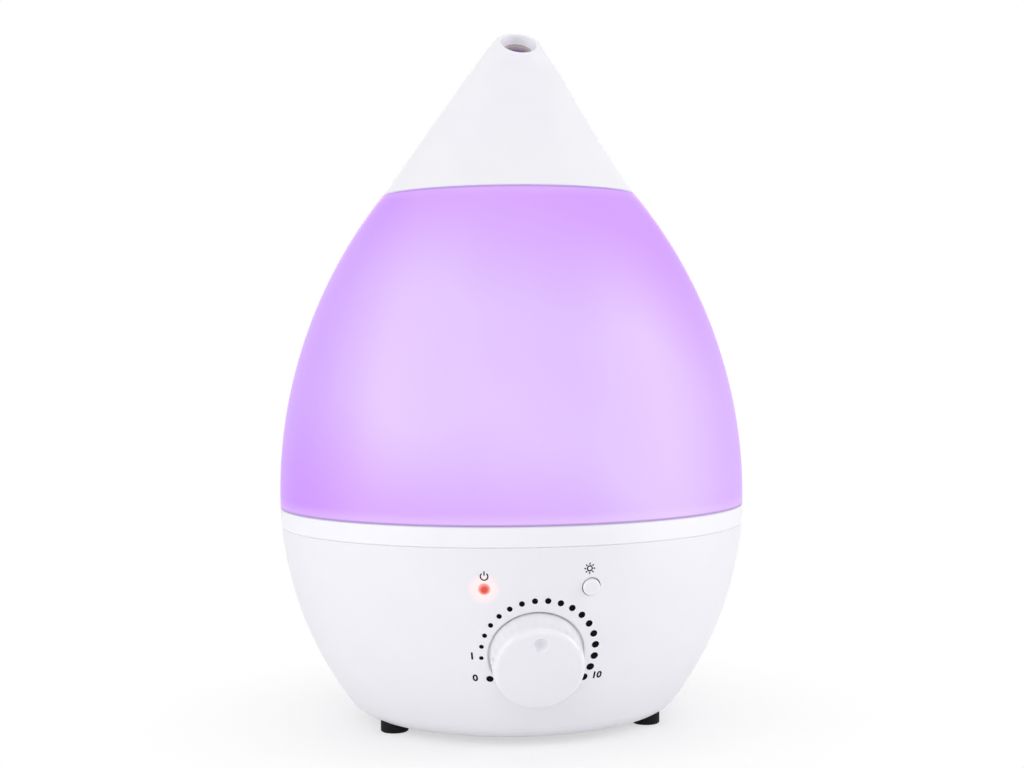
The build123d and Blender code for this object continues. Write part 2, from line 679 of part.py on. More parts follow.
with BuildPart() as led_board_screws:
    under_lights = Plane(origin=(0, 0, LIGHT_BOARD_Z), x_dir=(1, 0, 0), z_dir=(0, 0, -1))
    screws(under_lights, BOARD_T + SHORT_BITE, [(x, -y) for x, y in LIGHT_PEGS])
save(led_board_screws, "led_board_screws")

# Fan and air duct

FAN_AXIS = level(0).move(Location((FAN_X, FAN_Y, 0)))
FAN_HOLES = [(side * FAN_HOLE, end * FAN_HOLE) for side in (-1, 1) for end in (-1, 1)]
WEB_TOP = FAN_Z + FAN_WEB_T
FAN_TOP = FAN_Z + FAN_T
SLEEVE_R = FAN_SHAFT_R + FAN_CUP_T
SLEEVE_TOP = FAN_TOP - 3 * FAN_CUP_T
BLADE_TIP_R = FAN_BORE_R - FAN_TIP_GAP
CUP_TOP = FAN_TOP - FAN_CUP_T

with BuildPart() as fan_frame:
    with BuildSketch(FAN_AXIS.offset(FAN_Z)):
        RectangleRounded(FAN_W, FAN_W, FAN_CUP_T * 2)
        Circle(FAN_BORE_R, mode=Mode.SUBTRACT)
        with Locations(*FAN_HOLES):
            Circle(SCREW_R + FIT, mode=Mode.SUBTRACT)
    extrude(amount=FAN_T)
    posts(FAN_AXIS.offset(FAN_Z), FAN_HUB_R, FAN_WEB_T)
    with BuildSketch(FAN_AXIS.offset(FAN_Z)):
        with PolarLocations((FAN_HUB_R + FAN_BORE_R) / 2, FAN_STRUTS):
            Rectangle(FAN_BORE_R - FAN_HUB_R + 2 * FAN_CUP_T, 2 * FAN_CUP_T)
    extrude(amount=FAN_WEB_T)
    ring(FAN_AXIS, WEB_TOP, SLEEVE_TOP, FAN_SHAFT_R + RUNNING, SLEEVE_R)
save(fan_frame, "fan_frame")

with BuildPart() as fan_coils:
    ring(FAN_AXIS, WEB_TOP, SLEEVE_TOP - FAN_CUP_T, SLEEVE_R + RUNNING, SLEEVE_R + 2 * FAN_CUP_T)
    with BuildSketch(FAN_AXIS.offset(WEB_TOP)):
        with PolarLocations(SLEEVE_R + FAN_POLE_W, FAN_POLES):
            Rectangle(FAN_POLE_W, FAN_POLE_W)
    extrude(amount=SLEEVE_TOP - FAN_CUP_T - WEB_TOP)
save(fan_coils, "fan_coils")

with BuildPart() as fan_rotor:
    ring(FAN_AXIS, WEB_TOP + LOOSE, CUP_TOP, FAN_HUB_R - FAN_CUP_T, FAN_HUB_R)
    posts(FAN_AXIS.offset(CUP_TOP), FAN_HUB_R, -FAN_CUP_T)
    posts(FAN_AXIS.offset(CUP_TOP), FAN_SHAFT_R, WEB_TOP + LOOSE - CUP_TOP)
    with Locations(FAN_AXIS.offset((WEB_TOP + CUP_TOP) / 2)):
        with PolarLocations((FAN_HUB_R + BLADE_TIP_R) / 2 - FAN_CUP_T / 4, FAN_BLADES):
            Box(
                BLADE_TIP_R - FAN_HUB_R + FAN_CUP_T / 2,
                FAN_BLADE_T,
                FAN_BLADE_CHORD,
                rotation=(FAN_BLADE_PITCH, 0, 0),
            )
    ring(FAN_AXIS, FAN_Z, FAN_TOP, BLADE_TIP_R, FAN_W, Mode.SUBTRACT)
save(fan_rotor, "fan_rotor")

with BuildPart() as air_duct:
    blocks(FAN_AXIS.offset(FAN_TOP), FAN_W, FAN_W, DUCT_FLANGE_T)
    duct_low = FAN_AXIS.offset(FAN_TOP + DUCT_FLANGE_T)
    duct_high = riser.offset(SPIGOT_Z)
    with BuildSketch(duct_low):
        Circle(FAN_BORE_R)
    with BuildSketch(duct_high):
        Circle(RISER_OUT_R + FIT + DUCT_T)
    loft()
    posts(duct_high, RISER_OUT_R + FIT + DUCT_T, RISER_SPIGOT - FIT)
    posts(duct_high, RISER_OUT_R + FIT, RISER_SPIGOT, mode=Mode.SUBTRACT)
    with BuildSketch(duct_low):
        Circle(FAN_BORE_R - DUCT_T)
    with BuildSketch(duct_high):
        Circle(RISER_R)
    loft(mode=Mode.SUBTRACT)
    posts(duct_low, FAN_BORE_R - DUCT_T, -DUCT_FLANGE_T, mode=Mode.SUBTRACT)
    posts(duct_low, SCREW_R + RUNNING, -DUCT_FLANGE_T, FAN_HOLES, Mode.SUBTRACT)
save(air_duct, "air_duct")

with BuildPart() as fan_screws:
    under_fan = Plane(origin=(FAN_X, FAN_Y, FAN_Z), x_dir=(1, 0, 0), z_dir=(0, 0, -1))
    screws(under_fan, FAN_T + DUCT_FLANGE_T, FAN_HOLES)
save(fan_screws, "fan_screws")

# Float switch in the basin

FLOAT_BORE_R = FLOAT_POST_R + FLOAT_BORE_GAP
MAGNET_IN_R = FLOAT_BORE_R + MAGNET_WALL

with BuildPart() as float_body:
    ring(float_post, FLOAT_Z, FLOAT_Z + FLOAT_H, FLOAT_BORE_R, FLOAT_R)
    fillet(float_body.edges().filter_by(GeomType.CIRCLE).group_by(SortBy.RADIUS)[-1], FLOAT_ROUND)
    ring(float_post, FLOAT_Z, FLOAT_Z + MAGNET_T + FIT, MAGNET_IN_R, MAGNET_R + FIT, Mode.SUBTRACT)
save(float_body, "float")

with BuildPart() as float_magnet:
    ring(float_post, FLOAT_Z, FLOAT_Z + MAGNET_T, MAGNET_IN_R + FIT, MAGNET_R)
save(float_magnet, "float_magnet")

with BuildPart() as float_clip:
    ring(float_post, CLIP_Z, CLIP_Z + CLIP_T, CLIP_STUD_R + RUNNING, CLIP_R)
save(float_clip, "float_clip")

with BuildPart() as reed_switch:
    posts(float_post.offset(TRAY_UNDER), REED_R, REED_L - FIT)
    posts(float_post.offset(TRAY_UNDER), REED_R / 4, -2 * REED_R)
save(reed_switch, "reed_switch")

# Driver board and what is soldered on it

BOARD_TOP = BOARD_Z + BOARD_T


def board_plane(x, y, z=BOARD_TOP):
    """Plane over the driver board at a spot measured from the board's middle."""
    return level(z).move(Location((BOARD_X + x, BOARD_Y + y, 0)))


with BuildPart() as driver_board:
    blocks(level(BOARD_Z), BOARD_W, BOARD_L, BOARD_T, [BOARD_CENTRE])
    posts(level(BOARD_Z), SCREW_R + FIT, BOARD_T, BOARD_HOLES, Mode.SUBTRACT)
save(driver_board, "driver_board")

with BuildPart() as board_screws:
    screws(level(BOARD_TOP), BOARD_T + SHORT_BITE, BOARD_HOLES)
save(board_screws, "board_screws")

with BuildPart() as heatsink:
    blocks(board_plane(SINK_X + SINK_PLATE / 2, 0), SINK_PLATE, SINK_L, SINK_H)
    with BuildSketch(board_plane(SINK_X + (SINK_PLATE + SINK_W) / 2, 0)):
        with GridLocations(0, (SINK_L - SINK_FIN_T) / (SINK_FINS - 1), 1, SINK_FINS):
            Rectangle(SINK_W - SINK_PLATE + FIT, SINK_FIN_T)
    extrude(amount=SINK_H)
save(heatsink, "heatsink")

with BuildPart() as power_transistor:
    chip_x = SINK_X - FIT - CHIP_BODY_T / 2
    chip_low = board_plane(chip_x, 0, BOARD_TOP + CHIP_LEGS)
    blocks(chip_low, CHIP_BODY_T, CHIP_BODY_W, CHIP_BODY_H)
    with BuildSketch(board_plane(chip_x, 0)):
        with GridLocations(0, CHIP_BODY_W / 4, 1, 3):
            Rectangle(CHIP_LEG_T, CHIP_LEG_W)
    extrude(amount=CHIP_LEGS)
save(power_transistor, "power_transistor")

with BuildPart() as capacitors:
    for spot, radius, height in CAPACITORS:
        posts(board_plane(*spot), radius, height)
save(capacitors, "capacitors")

with BuildPart() as inductor:
    turned(
        [
            (0, 0),
            (COIL_R, 0),
            (COIL_R, COIL_FLANGE),
            (COIL_CORE_R, COIL_FLANGE),
            (COIL_CORE_R, COIL_H - COIL_FLANGE),
            (COIL_R, COIL_H - COIL_FLANGE),
            (COIL_R, COIL_H),
            (0, COIL_H),
        ],
        board_plane(*COIL_SPOT),
    )
save(inductor, "inductor")

with BuildPart() as lead_connectors:
    blocks(board_plane(0, 0), CONNECTOR_W, CONNECTOR_L, CONNECTOR_H, CONNECTOR_SPOTS)
save(lead_connectors, "lead_connectors")

# Dial: knob, shaft and the control behind it

KNOB_SECTION = section_of(KNOB_PLANE)
KNOB_AXIS = Axis(KNOB_PLANE.origin, KNOB_PLANE.z_dir)
KNOB_LOW = -DISH_DEPTH + KNOB_GAP
KNOB_INSIDE = KNOB_H - KNOB_WALL
BOSS_LOW = BUSHING_OUT + KNOB_GAP
BOSS_R = POT_SHAFT_R + KNOB_BOSS_T
SHAFT_END = KNOB_INSIDE - LOOSE
POT_BACK = -DISH_BACK - POT_T - POT_SWITCH_T


def d_outline(radius):
    """Round outline with the shaft's flat on its upper side."""
    Circle(radius)
    with Locations((0, radius)):
        Rectangle(2 * radius, 2 * POT_SHAFT_FLAT, mode=Mode.SUBTRACT)


with BuildPart() as knob:
    with BuildSketch(KNOB_SECTION):
        with BuildLine():
            Polyline(
                (0, KNOB_INSIDE),
                (KNOB_R - KNOB_WALL, KNOB_INSIDE),
                (KNOB_FOOT_R - KNOB_WALL, KNOB_LOW),
                (KNOB_FOOT_R, KNOB_LOW),
                (KNOB_R, KNOB_H),
            )
            face_top = KNOB_H + KNOB_CROWN
            face_mid = KNOB_H + KNOB_CROWN * 3 / 4
            ThreePointArc((KNOB_R, KNOB_H), (KNOB_R / 2, face_mid), (KNOB_FLAT_R, face_top))
            Polyline((KNOB_FLAT_R, face_top), (0, face_top), (0, KNOB_INSIDE))
        make_face()
    revolve(axis=KNOB_AXIS)
    rim = knob.edges().filter_by(GeomType.CIRCLE).sort_by(KNOB_AXIS).group_by(SortBy.RADIUS)
    fillet([edge for group in rim for edge in group if abs(edge.radius - KNOB_R) < FIT / 10], KNOB_ROUND)
    posts(KNOB_PLANE.offset(BOSS_LOW), BOSS_R, KNOB_INSIDE - BOSS_LOW)
    with BuildSketch(KNOB_PLANE.offset(BOSS_LOW)):
        d_outline(POT_SHAFT_R + RUNNING)
    extrude(amount=KNOB_INSIDE - BOSS_LOW, mode=Mode.SUBTRACT)
    dimple_ball_r = (DIMPLE_R**2 + DIMPLE_DEPTH**2) / (2 * DIMPLE_DEPTH)
    crown_there = KNOB_CROWN * (1 - (DIMPLE_OUT / KNOB_R) ** 2)
    with Locations(KNOB_PLANE.offset(KNOB_H + crown_there + dimple_ball_r - DIMPLE_DEPTH)):
        with Locations((0, DIMPLE_OUT)):
            Sphere(dimple_ball_r, mode=Mode.SUBTRACT)
save(knob, "knob")

with BuildPart() as pot_shaft:
    posts(KNOB_PLANE.offset(-DISH_BACK - POT_T), POT_SHAFT_R, BOSS_LOW + DISH_BACK + POT_T)
    with BuildSketch(KNOB_PLANE.offset(BOSS_LOW)):
        d_outline(POT_SHAFT_R)
    extrude(amount=SHAFT_END - BOSS_LOW)
save(pot_shaft, "pot_shaft")

with BuildPart() as potentiometer:
    posts(KNOB_PLANE.offset(-DISH_BACK), POT_R, -POT_T)
    posts(KNOB_PLANE.offset(-DISH_BACK - POT_T), POT_SWITCH_R, -POT_SWITCH_T)
    posts(KNOB_PLANE.offset(-DISH_BACK), BUSHING_R, DISH_BACK + BUSHING_OUT)
    shaft_low = KNOB_PLANE.offset(-DISH_BACK - POT_T - FIT)
    posts(shaft_low, POT_SHAFT_R + RUNNING, BELLY_R, mode=Mode.SUBTRACT)
    with BuildSketch(KNOB_PLANE.offset(-DISH_BACK - POT_T)):
        with Locations((0, -POT_R - POT_TAB_L / 4)):
            with GridLocations(POT_R / 2, 0, 3, 1):
                Rectangle(POT_TAB_W, POT_TAB_L)
    extrude(amount=POT_TAB_T)
save(potentiometer, "potentiometer")

with BuildPart() as pot_nut:
    with BuildSketch(KNOB_PLANE.offset(-DISH_DEPTH)):
        RegularPolygon(NUT_ACROSS / 2, 6, major_radius=False)
        Circle(BUSHING_R + RUNNING, mode=Mode.SUBTRACT)
    extrude(amount=NUT_T)
save(pot_nut, "pot_nut")

# Front panel: board, light button, power light

BUTTON_TOP = -BUTTON_SKIN + BUTTON_PROUD
SWITCH_TOP = -PANEL_DEPTH + SWITCH_T
FLANGE_LOW = -BUTTON_FLANGE_TOP - BUTTON_FLANGE
PLUNGER_LOW = SWITCH_TOP - LOOSE
PANEL_AXIS = Axis(PANEL_PLANE.origin, PANEL_PLANE.z_dir)
LENS_FLANGE_TOP = -panel_skin_depth(abs(LENS_X) + LENS_R + LENS_FLANGE) - WALL - FIT
LAMP_TOP = LENS_FLANGE_TOP - LENS_FLANGE - LAMP_GAP
BUTTON_SPOT = [(BUTTON_X, 0)]
LENS_SPOT = [(LENS_X, 0)]

with BuildPart() as panel_board:
    blocks(PANEL_PLANE.offset(-PANEL_DEPTH), PANEL_W, PANEL_H, -BOARD_T)
    posts(PANEL_PLANE.offset(-PANEL_DEPTH), SCREW_R + FIT, -BOARD_T, PANEL_POSTS, Mode.SUBTRACT)
save(panel_board, "panel_board")

with BuildPart() as panel_screws:
    panel_back = PANEL_PLANE.offset(-PANEL_DEPTH - BOARD_T)
    behind_panel = Plane(panel_back.origin, x_dir=panel_back.x_dir, z_dir=-panel_back.z_dir)
    screws(behind_panel, BOARD_T + LONG_BITE, PANEL_POSTS)
save(panel_screws, "panel_screws")

with BuildPart() as push_switch:
    blocks(PANEL_PLANE.offset(-PANEL_DEPTH), SWITCH_W, SWITCH_W, SWITCH_T, BUTTON_SPOT)
    switch_face = PANEL_PLANE.offset(SWITCH_TOP)
    plunger_room = BUTTON_TRAVEL + 2 * LOOSE
    posts(switch_face, PLUNGER_R + FIT, -plunger_room, BUTTON_SPOT, Mode.SUBTRACT)
save(push_switch, "push_switch")

with BuildPart() as button_cap:
    posts(PANEL_PLANE.offset(FLANGE_LOW), BUTTON_R, BUTTON_TOP - FLANGE_LOW, BUTTON_SPOT)
    cap_end = button_cap.edges().filter_by(GeomType.CIRCLE).sort_by(PANEL_AXIS)
    fillet(cap_end[-1], BUTTON_R / 3)
    posts(PANEL_PLANE.offset(FLANGE_LOW), BUTTON_REACH, BUTTON_FLANGE, BUTTON_SPOT)
save(button_cap, "button_cap")

with BuildPart() as switch_plunger:
    posts(PANEL_PLANE.offset(PLUNGER_LOW), PLUNGER_R, FLANGE_LOW - PLUNGER_LOW, BUTTON_SPOT)
save(switch_plunger, "switch_plunger")

with BuildPart() as power_lens:
    lens_top = LENS_PROUD - LENS_SKIN
    posts(PANEL_PLANE.offset(LENS_FLANGE_TOP), LENS_R, lens_top - LENS_FLANGE_TOP, LENS_SPOT)
    lens_end = power_lens.edges().filter_by(GeomType.CIRCLE).sort_by(PANEL_AXIS)
    fillet(lens_end[-1], LENS_R / 2)
    posts(PANEL_PLANE.offset(LENS_FLANGE_TOP), LENS_R + LENS_FLANGE, -LENS_FLANGE, LENS_SPOT)
save(power_lens, "power_lens")

with BuildPart() as power_led:
    posts(PANEL_PLANE.offset(-PANEL_DEPTH), LENS_R, LENS_FLANGE, LENS_SPOT)
    posts(PANEL_PLANE.offset(-PANEL_DEPTH), LAMP_R, LAMP_TOP + PANEL_DEPTH, LENS_SPOT)
save(power_led, "power_led")

# Power inlet

with BuildPart() as dc_jack:
    jack_face = inlet_plane(INLET_FLOOR_Y)
    blocks(jack_face, 2 * JACK_SCREW_X + 3 * SCREW_HEAD_R, JACK_W, -JACK_FLANGE_T)
    blocks(jack_face, JACK_W, JACK_W, -JACK_L)
    posts(jack_face, JACK_SOCKET_R, 3 * JACK_FLANGE_T - JACK_L, mode=Mode.SUBTRACT)
    posts(jack_face.offset(-JACK_L + JACK_FLANGE_T), JACK_PIN_R, JACK_L - 2 * JACK_FLANGE_T)
    posts(jack_face, SCREW_R + FIT, -JACK_FLANGE_T, INLET_POSTS, Mode.SUBTRACT)
save(dc_jack, "dc_jack")

with BuildPart() as jack_screws:
    jack_back = inlet_plane(INLET_FLOOR_Y - JACK_FLANGE_T)
    behind_jack = Plane(jack_back.origin, x_dir=jack_back.x_dir, z_dir=-jack_back.z_dir)
    screws(behind_jack, JACK_FLANGE_T + LONG_BITE, INLET_POSTS)
save(jack_screws, "jack_screws")

# Water tank

TANK_FLOOR_Z = SEAM_Z + TANK_LIP
TANK_FLOOR_TOP = TANK_FLOOR_Z + TRAY_T
NECK_R = TANK_TOP_R - NECK_LEDGE_W
NECK_OUT_R = NECK_R + WALL
DECK_Z = LID_Z - NECK_H
CHIMNEY_OUT_R = CHIMNEY_R + CHIMNEY_T
CHIMNEY_TOP = LID_Z + CHIMNEY_OVER
FLARE_R = CHIMNEY_R + CHIMNEY_FLARE
DOME_MEETS_NECK_Z = BELLY_Z + sqrt((TANK_ARC_R - WALL) ** 2 - (NECK_OUT_R - BELLY_R + TANK_ARC_R) ** 2)

with BuildPart() as tank_shell:
    with BuildSketch(Plane.XZ):
        with BuildLine():
            ThreePointArc(*skin_arc(SEAM_Z, LID_Z, TANK_ARC_R))
            Polyline(
                (TANK_TOP_R, LID_Z),
                (NECK_R, LID_Z),
                (NECK_R, DECK_Z),
                (CHIMNEY_OUT_R + FIT, DECK_Z),
                (CHIMNEY_OUT_R + FIT, DECK_Z - WALL),
                (NECK_OUT_R, DECK_Z - WALL),
                (NECK_OUT_R, DOME_MEETS_NECK_Z),
            )
            ThreePointArc(*skin_arc(DOME_MEETS_NECK_Z, SEAM_Z, TANK_ARC_R, WALL))
            Line((skin_r(SEAM_Z, TANK_ARC_R, WALL), SEAM_Z), (skin_r(SEAM_Z, TANK_ARC_R), SEAM_Z))
        make_face()
    revolve(axis=Axis.Z)
    fillet([outer_edge(tank_shell, z) for z in (SEAM_Z, LID_Z)], EDGE_ROUND)
save(tank_shell, "tank_shell")

FILLER_OUT_R = FILLER_R + FILLER_T
FILLER_AXIS = level(0).move(Location((0, FILLER_Y, 0)))
FILLER_MOUTH_Z = TANK_FLOOR_Z - FILLER_H
LUG_Z = FILLER_MOUTH_Z + LUG_UP


def lugs(z, r_in, r_out):
    """Bayonet lugs: short stretches of a ring round the filler's axis."""
    with BuildSketch(FILLER_AXIS.offset(z)) as outline:
        with BuildLine():
            half = radians(LUG_SPAN / 2)
            low, high = [(r * cos(half), -r * sin(half)) for r in (r_in, r_out)]
            Line(low, high)
            ThreePointArc(high, (r_out, 0), (high[0], -high[1]))
            Line((high[0], -high[1]), (low[0], -low[1]))
            ThreePointArc((low[0], -low[1]), (r_in, 0), low)
        make_face()
    lug = extrude(outline.sketch, amount=LUG_H, mode=Mode.PRIVATE)
    for n in range(LUG_COUNT):
        add(lug.rotate(Axis((0, FILLER_Y, 0), (0, 0, 1)), 360 / LUG_COUNT * n))


with BuildPart() as tank_bottom:
    plate_r = skin_r(TANK_FLOOR_Z, TANK_ARC_R, WALL) - FIT
    skirt_r = RIM_IN_R - SKIRT_GAP
    turned(
        [
            (FLARE_R, TANK_FLOOR_Z),
            (skirt_r - SKIRT_T, TANK_FLOOR_Z),
            (skirt_r - SKIRT_T, TANK_FLOOR_Z - SKIRT_H),
            (skirt_r, TANK_FLOOR_Z - SKIRT_H),
            (skirt_r, TANK_FLOOR_Z),
            (plate_r, TANK_FLOOR_Z),
            (plate_r, TANK_FLOOR_TOP),
            (FLARE_R + CHIMNEY_T, TANK_FLOOR_TOP),
            (CHIMNEY_OUT_R, TANK_FLOOR_Z + CHIMNEY_FLARE_H),
            (CHIMNEY_OUT_R, CHIMNEY_TOP),
            (CHIMNEY_R, CHIMNEY_TOP),
            (CHIMNEY_R, TANK_FLOOR_Z + CHIMNEY_FLARE_H),
        ]
    )
    neck_top = FILLER_AXIS.offset(TANK_FLOOR_TOP)
    neck_reach = FILLER_MOUTH_Z - TANK_FLOOR_TOP
    posts(neck_top, FILLER_OUT_R, neck_reach)
    lugs(LUG_Z, FILLER_OUT_R - FIT, FILLER_OUT_R + LUG_REACH)
    posts(neck_top, FILLER_R, neck_reach, mode=Mode.SUBTRACT)
save(tank_bottom, "tank_bottom")

# Filler cap and its valve

GASKET_TOP = FILLER_MOUTH_Z - LOOSE
CAP_FLOOR_TOP = GASKET_TOP - GASKET_T
CAP_Z = CAP_FLOOR_TOP - CAP_FLOOR_T
CAP_TOP = TANK_FLOOR_Z - CAP_TOP_GAP
VALVE_SEAL_Z = CAP_FLOOR_TOP + FIT + VALVE_TRAVEL
VALVE_FOOT_Z = BASIN_Z + VALVE_POST_H

with BuildPart() as filler_cap:
    turned(
        [
            (VALVE_BORE_R, CAP_Z),
            (CAP_OUT_R, CAP_Z),
            (CAP_OUT_R, CAP_TOP),
            (CAP_IN_R, CAP_TOP),
            (CAP_IN_R, CAP_FLOOR_TOP),
            (VALVE_BORE_R, CAP_FLOOR_TOP),
        ],
        FILLER_AXIS,
    )
    cap_edges = filler_cap.edges().filter_by(GeomType.CIRCLE).group_by(Axis.Z)[0]
    fillet(cap_edges.sort_by(SortBy.RADIUS)[-1], CAP_T / 2)
    lugs(LUG_Z + LUG_H + LOOSE, FILLER_OUT_R + LOOSE, CAP_IN_R + FIT)
    with BuildSketch(FILLER_AXIS.offset(CAP_Z + CAP_T)):
        with PolarLocations(CAP_OUT_R, CAP_RIBS):
            Circle(CAP_T / 5)
    extrude(amount=CAP_TOP - CAP_Z - CAP_T)
    ring(FILLER_AXIS, CAP_Z, CAP_FLOOR_TOP, VALVE_STEM_R + RUNNING, VALVE_HUB_R)
    with BuildSketch(FILLER_AXIS.offset(CAP_Z)):
        with PolarLocations((VALVE_HUB_R + VALVE_BORE_R) / 2, VALVE_WEBS):
            Rectangle(VALVE_BORE_R - VALVE_HUB_R + 2 * VALVE_WEB_IN, VALVE_WEB_W)
    extrude(amount=CAP_FLOOR_T)
save(filler_cap, "filler_cap")

with BuildPart() as cap_gasket:
    ring(FILLER_AXIS, CAP_FLOOR_TOP, GASKET_TOP, FILLER_R - GASKET_IN, CAP_IN_R - FIT)
save(cap_gasket, "cap_gasket")

with BuildPart() as valve_plunger:
    posts(FILLER_AXIS.offset(VALVE_FOOT_Z), VALVE_FOOT_R, VALVE_FOOT_T)
    posts(FILLER_AXIS.offset(VALVE_FOOT_Z), VALVE_STEM_R, VALVE_SEAL_Z + VALVE_SEAL_T - VALVE_FOOT_Z)
    posts(FILLER_AXIS.offset(VALVE_SEAL_Z + VALVE_SEAL_T), VALVE_DISC_R, VALVE_DISC_T)
save(valve_plunger, "valve_plunger")

with BuildPart() as valve_seal:
    ring(FILLER_AXIS, VALVE_SEAL_Z, VALVE_SEAL_Z + VALVE_SEAL_T, VALVE_STEM_R + FIT, VALVE_DISC_R - FIT)
save(valve_seal, "valve_seal")

with BuildPart() as valve_spring:
    spring_low = VALVE_FOOT_Z + VALVE_FOOT_T + SPRING_WIRE_R + FIT
    spring_high = CAP_Z - SPRING_WIRE_R - FIT
    with BuildLine() as coil:
        spring_h = spring_high - spring_low
        Helix(spring_h / SPRING_TURNS, spring_h, SPRING_R, (0, FILLER_Y, spring_low))
    with BuildSketch(Plane(coil.edge() @ 0, z_dir=coil.edge() % 0)):
        Circle(SPRING_WIRE_R)
    sweep(path=coil.edge(), is_frenet=True)
save(valve_spring, "valve_spring")

# Mist lid

LID_R = TANK_TOP_R - LID_STEP
LID_FRONT = Vector(sin(radians(LID_TURN)), -cos(radians(LID_TURN)), 0)
LID_SIDE = Vector(cos(radians(LID_TURN)), sin(radians(LID_TURN)), 0)
LID_LENGTH = sqrt(LID_RISE**2 + LID_REACH**2)
LID_TAPER = (LID_R - LID_TIP_R) / LID_LENGTH
LID_WALL_ACROSS = LID_WALL * sqrt(1 + LID_TAPER**2)


def lid_plane(along):
    """Plane across the spout at a distance along its axis: level at the tank, leaning at the tip."""
    share = along / LID_LENGTH
    a = radians(LID_TIP_LEAN) * share
    place = Vector(0, 0, LID_Z + LID_RISE * share) + LID_FRONT * (LID_REACH * share)
    return Plane(place, x_dir=LID_SIDE, z_dir=LID_FRONT * sin(a) + Vector(0, 0, cos(a)))


def spout(inset, length):
    """Leaning cone of the lid, measured inset behind its skin."""
    rounds = []
    for n in range(LID_SECTIONS):
        along = length * n / (LID_SECTIONS - 1)
        with BuildSketch(lid_plane(along)) as outline:
            Circle(LID_R - LID_TAPER * along - inset)
        rounds.append(outline.sketch.faces()[0])
    return loft(rounds, mode=Mode.PRIVATE)


SPIGOT_R = NECK_R - LOOSE - FIT
SEAL_RING_Z = LID_Z - SPIGOT_H / 2 - LID_SEAL_T / 2
SEAL_GROOVE_R = SPIGOT_R - LID_SEAL_IN
CAVITY_L = LID_LENGTH - LID_TIP_T
lid_skin = spout(0, LID_LENGTH)
lid_cavity = spout(LID_WALL_ACROSS, CAVITY_L)
baffle_room = spout(LID_WALL_ACROSS + FIT, CAVITY_L)
LID_TIP = lid_plane(LID_LENGTH)

with BuildPart() as mist_lid:
    add(lid_skin)
    fillet(mist_lid.edges().sort_by(Axis.Z)[-1], LID_TIP_ROUND)
    fillet(mist_lid.edges().sort_by(Axis.Z)[0], EDGE_ROUND)
    add(lid_cavity, mode=Mode.SUBTRACT)
    turned(
        [
            (SPIGOT_R - SPIGOT_T, LID_Z - SPIGOT_H),
            (SPIGOT_R, LID_Z - SPIGOT_H),
            (SPIGOT_R, SEAL_RING_Z - FIT),
            (SEAL_GROOVE_R, SEAL_RING_Z - FIT),
            (SEAL_GROOVE_R, SEAL_RING_Z + LID_SEAL_T + FIT),
            (SPIGOT_R, SEAL_RING_Z + LID_SEAL_T + FIT),
            (SPIGOT_R, LID_Z),
            (LID_R - LID_WALL_ACROSS / 2, LID_Z),
            (LID_R - LID_WALL_ACROSS / 2 - LID_FLANGE_T * LID_TAPER, LID_Z + LID_FLANGE_T),
            (SPIGOT_R - SPIGOT_T, LID_Z + LID_FLANGE_T),
        ]
    )
    turned(
        [
            (0, LID_TIP_ROUND),
            (DISH_OUT_R, LID_TIP_ROUND),
            (DISH_OUT_R, 0),
            (DISH_IN_R, -DISH_LID_DEPTH),
            (0, -DISH_LID_DEPTH),
        ],
        LID_TIP,
        Mode.SUBTRACT,
    )
    posts(LID_TIP, OUTLET_R, -2 * LID_TIP_T, mode=Mode.SUBTRACT)
save(mist_lid, "mist_lid")

with BuildPart() as lid_seal:
    ring(level(SEAL_RING_Z), 0, LID_SEAL_T, SEAL_GROOVE_R + FIT, NECK_R - LID_SEAL_GAP)
save(lid_seal, "lid_seal")

with BuildPart() as drip_baffle:
    baffle_z = CHIMNEY_TOP + BAFFLE_OVER
    posts(level(baffle_z), BAFFLE_R, BAFFLE_T)
    with BuildSketch(level(baffle_z)):
        with PolarLocations(LID_R / 2, BAFFLE_ARMS):
            Rectangle(LID_R, BAFFLE_ARM_W)
    extrude(amount=BAFFLE_T)
    add(baffle_room, mode=Mode.INTERSECT)
save(drip_baffle, "drip_baffle")

# Leads from the driver board's connectors

OUT_OF_BOARD = Vector(0, 0, LEAD_RISE)
FAR_OUT_OF_BOARD = Vector(0, 0, LEAD_OVER)


def plug(number, side):
    """Point on top of a connector, to one side of its middle."""
    x, y = CONNECTOR_SPOTS[number]
    return Vector(BOARD_X + x + side * LEAD_BESIDE, BOARD_Y + y, BOARD_TOP + CONNECTOR_H + FIT)


def lead(*points):
    """One lead along straight runs joined by round bends."""
    with BuildLine() as route:
        FilletPolyline(*points, radius=LEAD_BEND)
    with BuildSketch(Plane(points[0], z_dir=points[1] - points[0])) as end:
        Circle(LEAD_R)
    sweep(end.sketch, path=route.wire())


